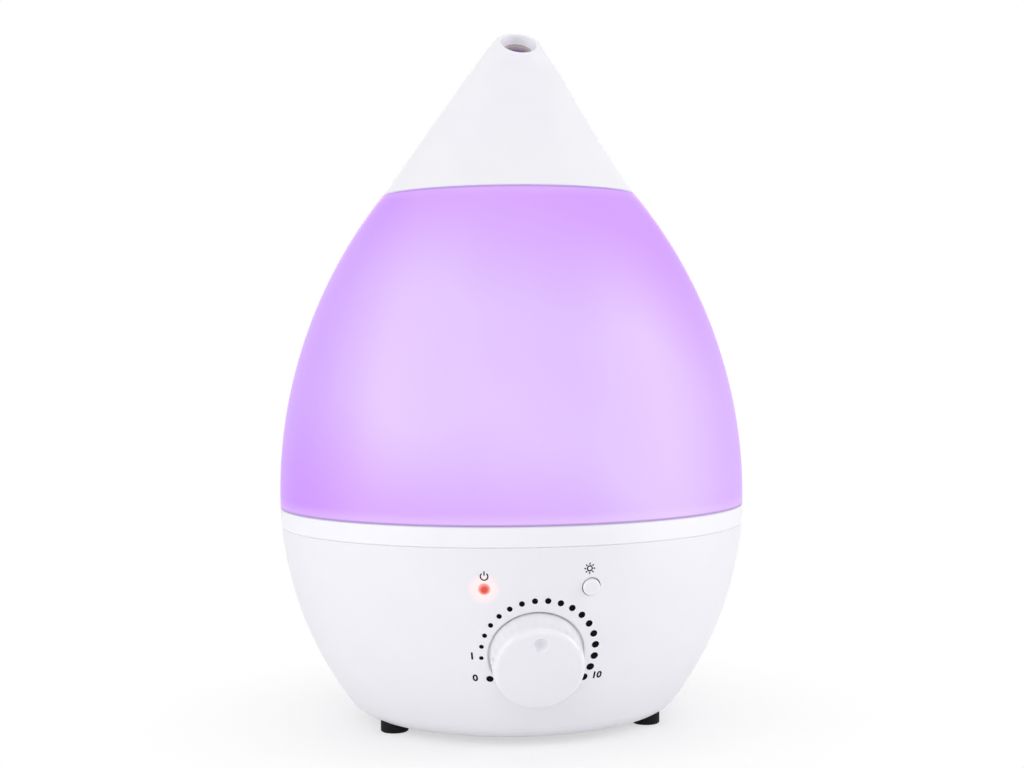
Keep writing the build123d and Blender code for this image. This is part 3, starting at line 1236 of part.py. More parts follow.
with BuildPart() as lead_wires:
    under_disc = Vector(WELL_HOLE_R / 3, 0, disc_low - FIT)
    lead(plug(2, 1), plug(2, 1) + OUT_OF_BOARD, under_disc - Vector(0, 0, LEAD_OUT), under_disc)

    fan_side = Vector(FAN_X + FAN_W / 2 + FIT, FAN_Y - FAN_HOLE + LEAD_R, FAN_Z + FAN_T / 2)
    beside_fan = fan_side + Vector(BOARD_X - BOARD_W / 2 - FAN_X - FAN_W / 2 - 2 * LEAD_R, 0, 0)
    over_fan_lead = Vector(beside_fan.X, beside_fan.Y, plug(0, -1).Z + LEAD_RISE)
    lead(plug(0, -1), plug(0, -1) + OUT_OF_BOARD, over_fan_lead, beside_fan, fan_side)

    light_board_mid = (LIGHT_BOARD_IN + LIGHT_BOARD_OUT) / 2
    under_lights_spot = Vector(light_board_mid, LIGHT_BOARD_IN / 4, LIGHT_BOARD_Z - FIT)
    over_sink = plug(3, 0) + FAR_OUT_OF_BOARD
    lead(plug(3, 0), over_sink, under_lights_spot - Vector(0, 0, LEAD_OUT), under_lights_spot)

    dial_back = KNOB_PLANE.offset(POT_BACK - FIT).origin
    dial_run = dial_back - KNOB_PLANE.z_dir * LEAD_OUT
    lead(plug(1, -1), plug(1, -1) + OUT_OF_BOARD, dial_run, dial_back)

    jack_back_spot = Vector(0, INLET_FLOOR_Y - JACK_L - FIT, INLET_Z)
    lead(
        jack_back_spot,
        jack_back_spot - Vector(0, 2 * LEAD_OUT, 0),
        plug(2, -1) + OUT_OF_BOARD,
        plug(2, -1),
    )

    panel_edge = PANEL_PLANE.offset(-PANEL_DEPTH - BOARD_T / 2)
    panel_foot = panel_edge.from_local_coords((PANEL_W / 4, -PANEL_H / 2 - FIT, 0))
    lead(
        plug(1, 1),
        plug(1, 1) + OUT_OF_BOARD,
        panel_foot - panel_edge.y_dir * LEAD_OUT,
        panel_foot,
    )

    reed_tail = Vector(FLOAT_X, FLOAT_Y, TRAY_UNDER - 2 * REED_R - FIT)
    over_plug = plug(0, 1) + FAR_OUT_OF_BOARD
    lead(reed_tail, reed_tail - Vector(0, 0, LEAD_OUT), over_plug, plug(0, 1))
save(lead_wires, "lead_wires")
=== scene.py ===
import json
from math import asin, cos, pi, radians, sin, sqrt

import bmesh
import bpy
from mathutils import Matrix, Vector
from mathutils.bvhtree import BVHTree


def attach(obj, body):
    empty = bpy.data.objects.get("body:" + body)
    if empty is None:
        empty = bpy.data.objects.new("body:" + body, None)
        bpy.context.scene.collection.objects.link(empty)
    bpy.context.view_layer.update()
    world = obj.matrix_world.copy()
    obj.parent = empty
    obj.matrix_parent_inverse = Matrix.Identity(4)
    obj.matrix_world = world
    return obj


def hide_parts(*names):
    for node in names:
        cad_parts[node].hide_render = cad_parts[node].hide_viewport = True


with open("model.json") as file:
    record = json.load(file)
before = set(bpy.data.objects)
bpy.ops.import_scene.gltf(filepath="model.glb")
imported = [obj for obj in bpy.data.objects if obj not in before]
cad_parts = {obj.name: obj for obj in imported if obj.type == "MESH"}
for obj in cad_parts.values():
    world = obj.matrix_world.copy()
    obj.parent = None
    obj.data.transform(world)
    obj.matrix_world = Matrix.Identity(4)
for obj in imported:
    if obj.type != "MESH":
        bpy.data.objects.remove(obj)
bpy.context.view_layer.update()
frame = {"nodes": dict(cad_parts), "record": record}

scene = bpy.context.scene
scene.view_settings.view_transform = "Standard"


# Sizes of the drop, repeated from the part's source, in metres

MM = 0.001
BELLY_R = 85.0 * MM
BELLY_Z = 82.0 * MM
SEAM_Z = 78.0 * MM
LID_Z = 191.0 * MM
BASE_DRAW = 28.6 * MM
FLOOR_GAP = 2.4 * MM
BASE_ARC_R = ((BELLY_Z - FLOOR_GAP) ** 2 + BASE_DRAW**2) / (2 * BASE_DRAW)
KNOB_Z = 34.3 * MM
KNOB_FACE = 9.0 * MM
DIMPLE_OUT = 9.8 * MM
PANEL_Z = 57.1 * MM
LENS_X = -17.5 * MM
BOARD_TOP = 12.6 * MM
COIL_LOW = BOARD_TOP + 1.2 * MM
COIL_HIGH = BOARD_TOP + 6.8 * MM
LID_TURN = radians(6.9)
LID_RISE = 54.2 * MM
LID_REACH = 19.8 * MM
LID_TIP_LEAN = radians(27.7)
LID_TIP_R = 8.2 * MM
DISH_DEPTH = 2.4 * MM
DISH_FLOOR_R = 6.0 * MM
OUTLET_R = 5.05 * MM

# The lid's tip: its place in the CAD lid, and the lip turned further forward about its rear edge

LIP_TURN = radians(10.0)
LIP_BEND = 13.0 * MM
LIP_LOOPS = 9
DISH_DEEPER = 0.6 * MM
LID_SIDE = Vector((cos(LID_TURN), sin(LID_TURN), 0))
LID_FORWARD = Vector((sin(LID_TURN), -cos(LID_TURN), 0))
LID_TIP = Vector((0, 0, LID_Z + LID_RISE)) + LID_FORWARD * LID_REACH
LID_AXIS = LID_FORWARD * sin(LID_TIP_LEAN) + Vector((0, 0, cos(LID_TIP_LEAN)))
LIP_HINGE = LID_TIP + LID_AXIS.cross(LID_SIDE) * LID_TIP_R
LIP_FULL_TURN = Matrix.Rotation(LIP_TURN, 3, LID_SIDE)
LIP_TIP = LIP_HINGE + LIP_FULL_TURN @ (LID_TIP - LIP_HINGE)
LIP_AXIS = LIP_FULL_TURN @ LID_AXIS


def skin_r(z):
    """Radius of the base's skin at a height."""
    return BELLY_R - BASE_ARC_R + sqrt(BASE_ARC_R**2 - (z - BELLY_Z) ** 2)


def front_spot(arc, z):
    """Place on the base's skin, at a distance round from the front and a height.

    Gives its point and its rightward, upward and outward directions.
    """
    lean = asin((z - BELLY_Z) / BASE_ARC_R)
    turn = Matrix.Rotation(arc / skin_r(z), 3, "Z")
    point = Vector((0, -skin_r(z), z))
    right = Vector((1, 0, 0))
    upward = Vector((0, sin(lean), cos(lean)))
    outward = Vector((0, -cos(lean), sin(lean)))
    return turn @ point, turn @ right, turn @ upward, turn @ outward


def new_object(name, data):
    """An object at the origin that shows a mesh, a curve, a lamp or a camera."""
    made = bpy.data.objects.new(name, data)
    scene.collection.objects.link(made)
    return made


# Camera: level with the tank, a little to the left of the dial, as in the photograph

CAMERA_TURN = radians(-5.9)
CAMERA_FAR = 0.6295
CAMERA_HEIGHT = 0.1373
CAMERA_PITCH = radians(-1.417)
CAMERA_ROLL = radians(-0.566)
CAMERA_YAW = radians(0.056)
CAMERA_LENS = 59.73
CAMERA_SENSOR = 36.0
CAMERA_NEAR = 0.01


def add_camera():
    """The camera that took the photograph."""
    data = bpy.data.cameras.new("photo_camera")
    data.lens = CAMERA_LENS
    data.sensor_width = CAMERA_SENSOR
    data.clip_start = CAMERA_NEAR
    camera = new_object("photo_camera", data)
    place = Vector((CAMERA_FAR * sin(CAMERA_TURN), -CAMERA_FAR * cos(CAMERA_TURN), CAMERA_HEIGHT))
    turn = Matrix.Rotation(CAMERA_TURN - CAMERA_YAW, 4, "Z")
    tilt = Matrix.Rotation(pi / 2 + CAMERA_PITCH, 4, "X")
    roll = Matrix.Rotation(CAMERA_ROLL, 4, "Z")
    camera.matrix_world = Matrix.Translation(place) @ turn @ tilt @ roll
    scene.camera = camera


add_camera()


# Node tools


class Socket:
    """An output in a node tree. Arithmetic on it adds Math nodes."""

    def __init__(self, nodes, output):
        self.nodes = nodes
        self.output = output

    def __add__(self, other):
        return self.nodes.math("ADD", self, other)

    def __radd__(self, other):
        return self.nodes.math("ADD", other, self)

    def __sub__(self, other):
        return self.nodes.math("SUBTRACT", self, other)

    def __rsub__(self, other):
        return self.nodes.math("SUBTRACT", other, self)

    def __mul__(self, other):
        return self.nodes.math("MULTIPLY", self, other)

    def __rmul__(self, other):
        return self.nodes.math("MULTIPLY", other, self)

    def __truediv__(self, other):
        return self.nodes.math("DIVIDE", self, other)

    def __rtruediv__(self, other):
        return self.nodes.math("DIVIDE", other, self)

    def __gt__(self, other):
        return self.nodes.math("GREATER_THAN", self, other)

    def __lt__(self, other):
        return self.nodes.math("LESS_THAN", self, other)

    def ramp(self, low, high):
        """0 below low, 1 above high, smooth between."""
        return self.nodes.node(
            "ShaderNodeMapRange",
            {"interpolation_type": "SMOOTHSTEP"},
            {"Value": self, "From Min": low, "From Max": high},
        )


class Nodes:
    """A node tree that starts empty."""

    def __init__(self, tree):
        self.tree = tree
        self.tree.nodes.clear()

    def add(self, kind, settings, inputs):
        """Adds a node: its settings first, then the values or links of its sockets."""
        made = self.tree.nodes.new(kind)
        for name, value in settings.items():
            setattr(made, name, value)
        for name, value in inputs.items():
            if isinstance(value, Socket):
                self.tree.links.new(value.output, made.inputs[name])
            else:
                made.inputs[name].default_value = value
        return made

    def node(self, kind, settings, inputs, output=0):
        """Adds a node and gives one of its outputs."""
        return Socket(self, self.add(kind, settings, inputs).outputs[output])

    def math(self, operation, *values):
        """Result of a Math node."""
        return self.node("ShaderNodeMath", {"operation": operation}, dict(enumerate(values)))

    def vector(self, operation, first, second, output="Value"):
        """Result of a Vector Math node."""
        return self.node("ShaderNodeVectorMath", {"operation": operation}, {0: first, 1: second}, output)

    def in_sight(self):
        """1 on rays from the camera, in reflections and through clear parts, 0 on rays of light."""
        seen, mirrored, through = (
            self.node("ShaderNodeLightPath", {}, {}, f"Is {kind} Ray")
            for kind in ("Camera", "Glossy", "Transmission")
        )
        return self.math("MINIMUM", seen + mirrored + through, 1.0)


class Finish(Nodes):
    """A procedural material: one Principled shader and the nodes that feed it."""

    def __init__(self, name, **fixed):
        self.material = bpy.data.materials.new(name)
        self.material.use_nodes = True
        super().__init__(self.material.node_tree)
        values = {socket.replace("_", " "): value for socket, value in fixed.items()}
        self.skin = self.add("ShaderNodeBsdfPrincipled", {}, values)
        self.shader = Socket(self, self.skin.outputs[0])
        self.out = self.add("ShaderNodeOutputMaterial", {}, {"Surface": self.shader})
        self.place = self.node("ShaderNodeTexCoord", {}, {}, "Object")

    def feed(self, **sockets):
        """Links values that change over the surface to the shader."""
        for name, value in sockets.items():
            self.tree.links.new(value.output, self.skin.inputs[name.replace("_", " ")])

    def noise(self, size, detail=2.0, stretch=(1, 1, 1)):
        """Cloudy value from 0 to 1 with features of a size in metres."""
        spot = self.node("ShaderNodeMapping", {}, {"Vector": self.place, "Scale": stretch})
        inputs = {"Vector": spot, "Scale": 1 / size, "Detail": detail, "Roughness": 0.55}
        return self.node("ShaderNodeTexNoise", {}, inputs)

    def axis(self, name):
        """One coordinate of the surface point, in metres."""
        return self.node("ShaderNodeSeparateXYZ", {}, {"Vector": self.place}, name)

    def away(self, point):
        """Distance from a point."""
        return self.vector("DISTANCE", self.place, point)

    def away_from_axis(self):
        """Distance from the drop's upright axis."""
        x, y = self.axis("X"), self.axis("Y")
        return self.math("SQRT", x * x + y * y)

    def mix(self, share, first, second):
        """Colour between two colours, by the Mix node's colour sockets."""
        return self.node("ShaderNodeMix", {"data_type": "RGBA"}, {0: share, 6: first, 7: second}, 2)

    def bump(self, height, depth):
        """Normal of a relief."""
        return self.node("ShaderNodeBump", {}, {"Height": height, "Distance": depth, "Strength": 1.0})


# White shells

WHITE_HIGH = (0.865, 0.86, 0.885)
WHITE_LOW = (0.84, 0.835, 0.868)
RED_GLOW = (0.50, 0.08, 0.03, 1)
# Painted shade in the knob's pointer dimple
DIMPLE_PAINTED_SHADE = (0.60, 0.59, 0.65, 1)
# Painted shadow line at the seam under the tank
RIM_PAINTED_SHADOW = (0.50, 0.46, 0.56, 1)
# Painted shade in the bore of the mist outlet
OUTLET_PAINTED_SHADE = (0.58, 0.51, 0.49, 1)
NO_GLOW = (0, 0, 0, 1)


def white_shell(name, rough=0.40, light=1.0, glow_at=None, shade=None):
    """White moulded shell: faint flow clouding, satin drift and a fine mould grain.

    glow_at is the middle of a painted red glow on it, and shade a function that paints shade on places of
    it.
    """
    f = Finish(name, IOR=1.5, Emission_Strength=0.0 if glow_at is None else 0.9)
    flow = f.noise(45 * MM, 3.0)
    grain = f.noise(0.5 * MM)
    high, low = ((*(v * light for v in tint), 1) for tint in (WHITE_HIGH, WHITE_LOW))
    colour = f.mix(flow.ramp(0.3, 0.75), high, low)
    if shade is not None:
        colour = shade(f, colour)
    f.feed(
        Base_Color=colour,
        Roughness=rough + flow * 0.07 + grain * 0.05,
        Normal=f.bump(grain * 0.4 + f.noise(18 * MM, 1.0) * 6.0, 0.012 * MM),
    )
    if glow_at is not None:
        # Painted red glow of the power lamp's light around its lens
        near = 1 - f.away(glow_at).ramp(1.6 * MM, 6.8 * MM)
        f.feed(Emission_Color=f.mix(near * near, NO_GLOW, RED_GLOW))
    return f.material


def dimple_shade(f, colour):
    """Painted shade in the knob's pointer dimple."""
    point, _, upward, outward = front_spot(0, KNOB_Z)
    near = 1 - f.away(point + upward * DIMPLE_OUT + outward * KNOB_FACE).ramp(0.6 * MM, 3.0 * MM)
    return f.mix(near * 0.5, colour, DIMPLE_PAINTED_SHADE)


def rim_shade(f, colour):
    """Painted shadow line along the outer edge under the tank."""
    outer = f.away_from_axis().ramp(skin_r(SEAM_Z) - 0.6 * MM, skin_r(SEAM_Z) - 0.3 * MM)
    shadow_line = (f.axis("Z") - SEAM_Z).ramp(-0.8 * MM, -0.1 * MM) * outer
    return f.mix(shadow_line * 0.8, colour, RIM_PAINTED_SHADOW)


def outlet_shade(f, colour):
    """Painted shade in the bore of the mist outlet, under the dish in the lid's tip."""
    along = f.vector("DOT_PRODUCT", f.vector("SUBTRACT", f.place, LIP_TIP, "Vector"), LIP_AXIS)
    reach = f.away(LIP_TIP)
    aside = f.math("SQRT", reach * reach - along * along)
    inside = (aside < OUTLET_R + 0.15 * MM) * (along < 0.1 * MM - DISH_DEPTH - DISH_DEEPER)
    return f.mix(inside, colour, OUTLET_PAINTED_SHADE)


# Frosted tank: colours of its skin, painted lighter where lit, and of the painted glow that stands in for
# the light coming through it

DEEP_SKIN = (0.244, 0.162, 0.343, 1)
LIT_SKIN = (0.266, 0.228, 0.343, 1)
PALE_SKIN = (0.377, 0.364, 0.424, 1)
DEEP_GLOW = (0.508, 0.335, 0.687, 1)
LIT_GLOW = (0.585, 0.515, 0.687, 1)
# Painted shade of the glow at the tank's sides
SIDE_PAINTED_SHADE = (0.33, 0.15, 0.60, 1)
PALE_GLOW = (0.666, 0.65, 0.727, 1)
# Painted shadow line at the tank's top and bottom edges
EDGE_PAINTED_SHADOW = (0.24, 0.17, 0.32, 1)
FROST_COAT = {
    "Coat_Weight": 1.0,
    "Coat_IOR": 1.15,
    "Coat_Roughness": 0.34,
    "Coat_Tint": (0.90, 0.77, 0.99, 1),
}


def frosted_tank(name):
    """Frosted shell with a painted glow for the light from inside: palest at mid height in front, deeper
    at its ends, and deepened by painted shade at its sides.
    """
    f = Finish(name, IOR=1.4, Emission_Strength=1.0, **FROST_COAT)
    frost = f.noise(0.6 * MM)
    drift = f.noise(70 * MM)
    x, y = f.axis("X"), f.axis("Y")
    aside = x * x / (x * x + y * y)
    over_seam = f.axis("Z") - SEAM_Z
    over_lid_edge = f.axis("Z") - LID_Z

    # Painted light of the lamps under the tank: a leaning band, a patch low on the right, and two beams
    # of painted highlight that stand in for reflections of the side softboxes
    band = (over_seam + x * 0.2).ramp(-18 * MM, 34 * MM)
    band = band * (1 - (over_seam + x * 0.25).ramp(62 * MM, 114 * MM))
    low_right = x.ramp(10 * MM, 50 * MM) * (1 - over_seam.ramp(20 * MM, 70 * MM))
    painted_highlights = aside.ramp(0.0, 0.16) * (1 - aside.ramp(0.22, 0.55))
    lit = band * (0.72 + drift.ramp(0.3, 0.7) * 0.16 + painted_highlights * 0.30) + low_right * 0.35

    # Thick wall at the two ends: a paler painted glow, with a painted shadow line at its very edge
    pale = (1 - over_seam.ramp(0.2 * MM, 4.5 * MM)) * 0.30
    pale = pale + over_lid_edge.ramp(-4.0 * MM, -0.2 * MM) * 0.15
    edge = over_lid_edge.ramp(-0.9 * MM, -0.2 * MM) + 1 - over_seam.ramp(0.2 * MM, 0.9 * MM)

    glow = f.mix(lit, DEEP_GLOW, LIT_GLOW)
    # Painted shade: the glow deepens towards the sides
    glow = f.mix(aside.ramp(0.40, 1.0) * 0.55, glow, SIDE_PAINTED_SHADE)
    glow = f.mix(pale, glow, PALE_GLOW)
    # The skin's colour is painted too: lighter where the glow is lit, paler at the ends
    f.feed(
        Base_Color=f.mix(pale, f.mix(lit, DEEP_SKIN, LIT_SKIN), PALE_SKIN),
        Emission_Color=f.mix(edge * 0.8, glow, EDGE_PAINTED_SHADOW),
        Roughness=0.40 + frost * 0.10,
        Normal=f.bump(frost, 0.03 * MM),
    )
    return f.material


# Finishes of the other pieces


def satin_moulding(name, light, dark, rough=0.42):
    """Plain moulding with a fine grain and slight clouding."""
    f = Finish(name, IOR=1.49)
    cloud = f.noise(12 * MM, 3.0)
    grain = f.noise(0.4 * MM)
    f.feed(
        Base_Color=f.mix(cloud.ramp(0.25, 0.8), light, dark),
        Roughness=rough + cloud * 0.12 + grain * 0.06,
        Normal=f.bump(grain + cloud * 2.0, 0.02 * MM),
    )
    return f.material


def rubber(name, light, dark, rough=0.7, sheen=0.5):
    """Dusty, finely pored rubber."""
    f = Finish(name, IOR=1.5, Specular_IOR_Level=sheen)
    dust = f.noise(3 * MM, 4.0)
    pores = f.noise(0.25 * MM)
    f.feed(
        Base_Color=f.mix(dust.ramp(0.4, 0.8), dark, light),
        Roughness=rough + dust * 0.2,
        Normal=f.bump(pores + dust, 0.04 * MM),
    )
    return f.material


def metal(name, light, dark, rough=0.28, stretch=(1, 1, 1)):
    """Bare or plated metal with drawn lines along the stretched direction."""
    f = Finish(name, Metallic=1.0)
    lines = f.noise(0.6 * MM, 3.0, stretch)
    stain = f.noise(6 * MM, 3.0)
    f.feed(
        Base_Color=f.mix(stain.ramp(0.3, 0.8), light, dark),
        Roughness=rough + lines * 0.16 + stain * 0.08,
        Normal=f.bump(lines, 0.01 * MM),
    )
    return f.material


def reed_glass(name):
    """Greenish glass tube with faint flow lines."""
    f = Finish(name, IOR=1.49, Transmission_Weight=0.85)
    flow = f.noise(2 * MM)
    f.feed(
        Base_Color=f.mix(flow, (0.80, 0.90, 0.86, 1), (0.72, 0.81, 0.774, 1)),
        Roughness=0.12 + flow * 0.1,
        Normal=f.bump(flow, 0.02 * MM),
    )
    return f.material


def tank_light(name):
    """Diffusing lens of the tank light, unevenly lit."""
    f = Finish(name, IOR=1.49, Emission_Strength=1.0)
    cloud = f.noise(1.2 * MM)
    f.feed(
        Base_Color=f.mix(cloud, (0.78, 0.68, 0.92, 1), (0.70, 0.58, 0.90, 1)),
        Emission_Color=f.mix(cloud, (0.55, 0.34, 0.85, 1), (0.42, 0.24, 0.80, 1)),
        Roughness=0.25 + cloud * 0.1,
        Normal=f.bump(cloud, 0.02 * MM),
    )
    return f.material


def lamp_point(depth):
    """Middle of the power light at a depth under the base's skin."""
    point, right, _, outward = front_spot(0, PANEL_Z)
    return point + right * LENS_X - outward * depth


def power_light(name):
    """Red lens over a lit lamp: deep red in its middle, washed out towards the rim."""
    f = Finish(name, IOR=1.3, Emission_Strength=1.0)
    cloud = f.noise(0.6 * MM)
    hot = 1 - f.away(lamp_point(1.5 * MM)).ramp(0.7 * MM, 2.1 * MM)
    f.feed(
        Base_Color=f.mix(cloud, (0.30, 0.05, 0.03, 1), (0.24, 0.03, 0.02, 1)),
        Emission_Color=f.mix(hot, (0.85, 0.42, 0.38, 1), (0.50, 0.055, 0.035, 1)),
        Roughness=0.30 + cloud * 0.1,
    )
    return f.material


def circuit_board(name):
    """Solder mask over copper tracks, with bare pads."""
    f = Finish(name, IOR=1.5, Coat_Weight=0.3)
    tracks = f.node(
        "ShaderNodeTexBrick",
        {"offset": 0.37, "squash": 0.6, "squash_frequency": 3},
        {"Vector": f.place, "Scale": 220.0, "Mortar Size": 0.06, "Mortar Smooth": 0.2},
        "Fac",
    )
    cells = {"Vector": f.place, "Scale": 330.0}
    pad = f.node("ShaderNodeTexVoronoi", {"feature": "F1"}, cells, "Distance") < 0.16
    blur = f.noise(4 * MM, 3.0)
    mask = f.mix(tracks, (0.012, 0.11, 0.045, 1), (0.03, 0.20, 0.07, 1))
    mask = f.mix(blur * 0.3, mask, (0.01, 0.07, 0.03, 1))
    f.feed(
        Base_Color=f.mix(pad, mask, (0.62, 0.60, 0.56, 1)),
        Metallic=pad * 0.8,
        Roughness=0.38 - pad * 0.1 + blur * 0.1,
        Normal=f.bump(tracks + pad, 0.04 * MM),
    )
    return f.material


def windings(name, low=0.0, high=1.0):
    """Turns of enamelled wire between two heights, dark core elsewhere."""
    f = Finish(name, IOR=1.5)
    height = f.axis("Z")
    wave = {"Vector": f.place, "Scale": 700.0, "Distortion": 0.6}
    turns = f.node("ShaderNodeTexWave", {"bands_direction": "Z"}, wave, "Fac")
    wound = (height > low) * (height < high)
    copper = f.mix(turns, (0.30, 0.10, 0.03, 1), (0.62, 0.27, 0.10, 1))
    f.feed(
        Base_Color=f.mix(wound, (0.03, 0.03, 0.034, 1), copper),
        Metallic=wound * 0.85,
        Roughness=0.55 - wound * 0.25,
        Normal=f.bump(turns * wound, 0.1 * MM),
    )
    return f.material


def capacitor_can(name):
    """Dark sleeve with a pale stripe, and a bare top."""
    f = Finish(name, IOR=1.5)
    facing = {"Vector": f.node("ShaderNodeNewGeometry", {}, {}, "Normal")}
    top = f.node("ShaderNodeSeparateXYZ", {}, facing, "Z") > 0.9
    stripe = f.node("ShaderNodeSeparateXYZ", {}, facing, "X") < -0.86
    cloud = f.noise(2 * MM, 3.0)
    sleeve = f.mix(stripe, (0.012, 0.014, 0.03, 1), (0.55, 0.56, 0.6, 1))
    f.feed(
        Base_Color=f.mix(top, sleeve, (0.72, 0.72, 0.74, 1)),
        Metallic=top * 0.9,
        Roughness=0.34 + cloud * 0.1,
        Normal=f.bump(cloud, 0.03 * MM),
    )
    return f.material


def lead_insulation(name):
    """Wire insulation, red on one side of the base and black on the other."""
    f = Finish(name, IOR=1.5)
    wear = f.noise(1.5 * MM)
    black = f.axis("X") > 12 * MM
    f.feed(
        Base_Color=f.mix(black, (0.45, 0.03, 0.02, 1), (0.03, 0.03, 0.035, 1)),
        Roughness=0.4 + wear * 0.15,
        Normal=f.bump(wear, 0.02 * MM),
    )
    return f.material


def printed_ink(name):
    """Pad-printed black ink, slightly uneven."""
    f = Finish(name, IOR=1.3, Specular_IOR_Level=0.15)
    cover = f.noise(0.4 * MM, 3.0)
    f.feed(
        Base_Color=f.mix(cover.ramp(0.3, 0.8), (0.001, 0.001, 0.0012, 1), (0.005, 0.005, 0.006, 1)),
        Roughness=0.62 + cover * 0.15,
        Normal=f.bump(cover, 0.01 * MM),
    )
    return f.material


def grey(level, blue=0.0):
    """A grey, or one with more or less blue in it."""
    return (level, level, level + blue, 1)


INK = printed_ink("printed_ink")
WHITE_LID = white_shell("white_lid", shade=outlet_shade)

SLOT_FINISH = {
    "white_abs": white_shell("white_shell"),
    "inner_white_abs": satin_moulding("inner_white", grey(0.80), grey(0.74, 0.005)),
    # Drip baffle coloured dark warm grey as painted shade seen through the mist outlet
    "grey_abs": satin_moulding("baffle_painted_shade", (0.23, 0.18, 0.155, 1), (0.19, 0.15, 0.13, 1), 0.5),
    "frosted_tank": frosted_tank("frosted_tank"),
    "black_rubber": rubber("black_rubber", grey(0.012, 0.001), grey(0.004, 0.001), sheen=0.2),
    "silicone": rubber("silicone", grey(0.72, -0.02), grey(0.62, -0.01), rough=0.45),
    "steel": metal("plated_steel", grey(0.60, 0.01), grey(0.48, 0.02)),
    "transducer_face": metal("transducer_face", (0.74, 0.73, 0.70, 1), (0.62, 0.61, 0.58, 1), 0.18),
    "clear_lens": tank_light("tank_light"),
    "red_lens": power_light("power_light"),
    "circuit_board": circuit_board("circuit_board"),
    "white_chip": satin_moulding("white_connector", (0.78, 0.76, 0.68, 1), (0.70, 0.68, 0.60, 1), 0.5),
    "black_plastic": satin_moulding("black_plastic", grey(0.022, 0.002), grey(0.012, 0.001)),
    "heatsink_metal": metal("extruded_aluminium", grey(0.70, 0.02), grey(0.60, 0.03), 0.3, (1, 1, 0.05)),
    "copper_windings": windings("fan_windings"),
    "zinc_can": metal("zinc_can", (0.62, 0.61, 0.58, 1), (0.50, 0.50, 0.48, 1), 0.36),
    "ceramic_magnet": satin_moulding("ceramic_magnet", grey(0.05, 0.002), grey(0.03, 0.002), 0.6),
    "wire_insulation": lead_insulation("wire_insulation"),
}
NODE_FINISH = {
    "base_housing": white_shell("white_shell_lit_by_lamp", glow_at=lamp_point(2.0 * MM)),
    "basin_tray": white_shell("white_rim", light=1.05, shade=rim_shade),
    "knob": white_shell("white_knob", rough=0.10, shade=dimple_shade),
    "mist_lid": WHITE_LID,
    "button_cap": white_shell("white_dial", rough=0.10),
    "capacitors": capacitor_can("capacitor_can"),
    "inductor": windings("inductor_windings", COIL_LOW, COIL_HIGH),
    "reed_switch": reed_glass("reed_glass"),
    "led_chips": satin_moulding("light_chip", (0.82, 0.76, 0.40, 1), (0.74, 0.66, 0.30, 1), 0.4),
}


def dress_nodes():
    """Gives every carried node its own finish, or else that of its slot."""
    for entry in frame["record"]["subparts"]:
        node = frame["nodes"][entry["node"]]
        finish = NODE_FINISH.get(entry["node"], SLOT_FINISH[entry["material_slot"]])
        if not node.material_slots:
            node.data.materials.append(finish)
        for held in node.material_slots:
            held.material = finish


dress_nodes()


# Printed scale, numbers and symbols on the front, in places as (distance round, height)

INK_PROUD = 0.04 * MM
INK_SUNK = 0.03 * MM
RAY_START = 12 * MM
MERGE_NEAR = 0.0001 * MM
DIAL_AT = (0.8 * MM, 35.27 * MM)
DIAL_TURN = radians(-0.6)
DOT_CIRCLE_R = 18.95 * MM
DOT_STEP = radians(13.1)
DOT_OFF = -9.5
DOT_FIRST = -7.5
DOT_COUNT = 18
DOT_FIRST_R = 0.72 * MM
DOT_LAST_R = 1.36 * MM
DOT_OFF_R = 1.20 * MM
DOT_SIDES = 28
NUMERAL_H = 2.5 * MM
NUMERAL_SHARE = 0.7
NUMERAL_WEIGHT = 0.055
NUMERALS = {
    "numeral_one": ("1", (-21.3 * MM, 34.3 * MM)),
    "numeral_zero": ("0", (-20.0 * MM, 26.4 * MM)),
    "numeral_ten": ("10", (21.1 * MM, 26.2 * MM)),
}
STROKE = 0.42 * MM
RING_STEPS = 40
POWER_AT = (-17.7 * MM, 61.7 * MM)
POWER_R = 1.02 * MM
POWER_GAP = radians(38)
POWER_BAR = (0.35 * MM, 1.75 * MM)
LIGHT_AT = (17.0 * MM, 63.6 * MM)
LIGHT_R = 0.62 * MM
LIGHT_RAY = (1.25 * MM, 1.85 * MM)
LIGHT_RAYS = 8

base_skin = BVHTree.FromObject(frame["nodes"]["base_housing"], bpy.context.evaluated_depsgraph_get())


def plain_mesh(maker):
    """Mesh of an object with its text or modifiers made up. The object goes."""
    flat = bpy.data.meshes.new_from_object(maker.evaluated_get(bpy.context.evaluated_depsgraph_get()))
    maker.modifiers.clear()
    bpy.data.objects.remove(maker)
    return flat


def print_on_base(name, flat, at, turn=0.0):
    """Wraps a flat shape in X and Y onto the front of the base, as a thin layer of ink."""
    point, right, upward, outward = front_spot(*at)
    layer = bmesh.new()
    layer.from_mesh(flat)
    bmesh.ops.triangulate(layer, faces=layer.faces[:])
    lower = {}
    for vert in layer.verts[:]:
        across = vert.co.x * cos(turn) - vert.co.y * sin(turn)
        along = vert.co.x * sin(turn) + vert.co.y * cos(turn)
        start = point + right * across + upward * along + outward * RAY_START
        hit, normal, _, _ = base_skin.ray_cast(start, -outward)
        vert.co = hit + normal * INK_PROUD
        lower[vert] = layer.verts.new(hit - normal * INK_SUNK)
    layer.normal_update()
    for face in layer.faces[:]:
        if face.normal.dot(outward) < 0:
            face.normal_flip()
    rim = [edge.link_loops[0] for edge in layer.edges if len(edge.link_faces) == 1]
    sides = [(loop.vert, loop.link_loop_next.vert) for loop in rim]
    for face in layer.faces[:]:
        layer.faces.new([lower[vert] for vert in reversed(face.verts)])
    for a, b in sides:
        layer.faces.new([b, a, lower[a], lower[b]])
    mesh = bpy.data.meshes.new(name)
    layer.to_mesh(mesh)
    layer.free()
    mesh.materials.append(INK)
    piece = new_object(name, mesh)
    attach(piece, "base")


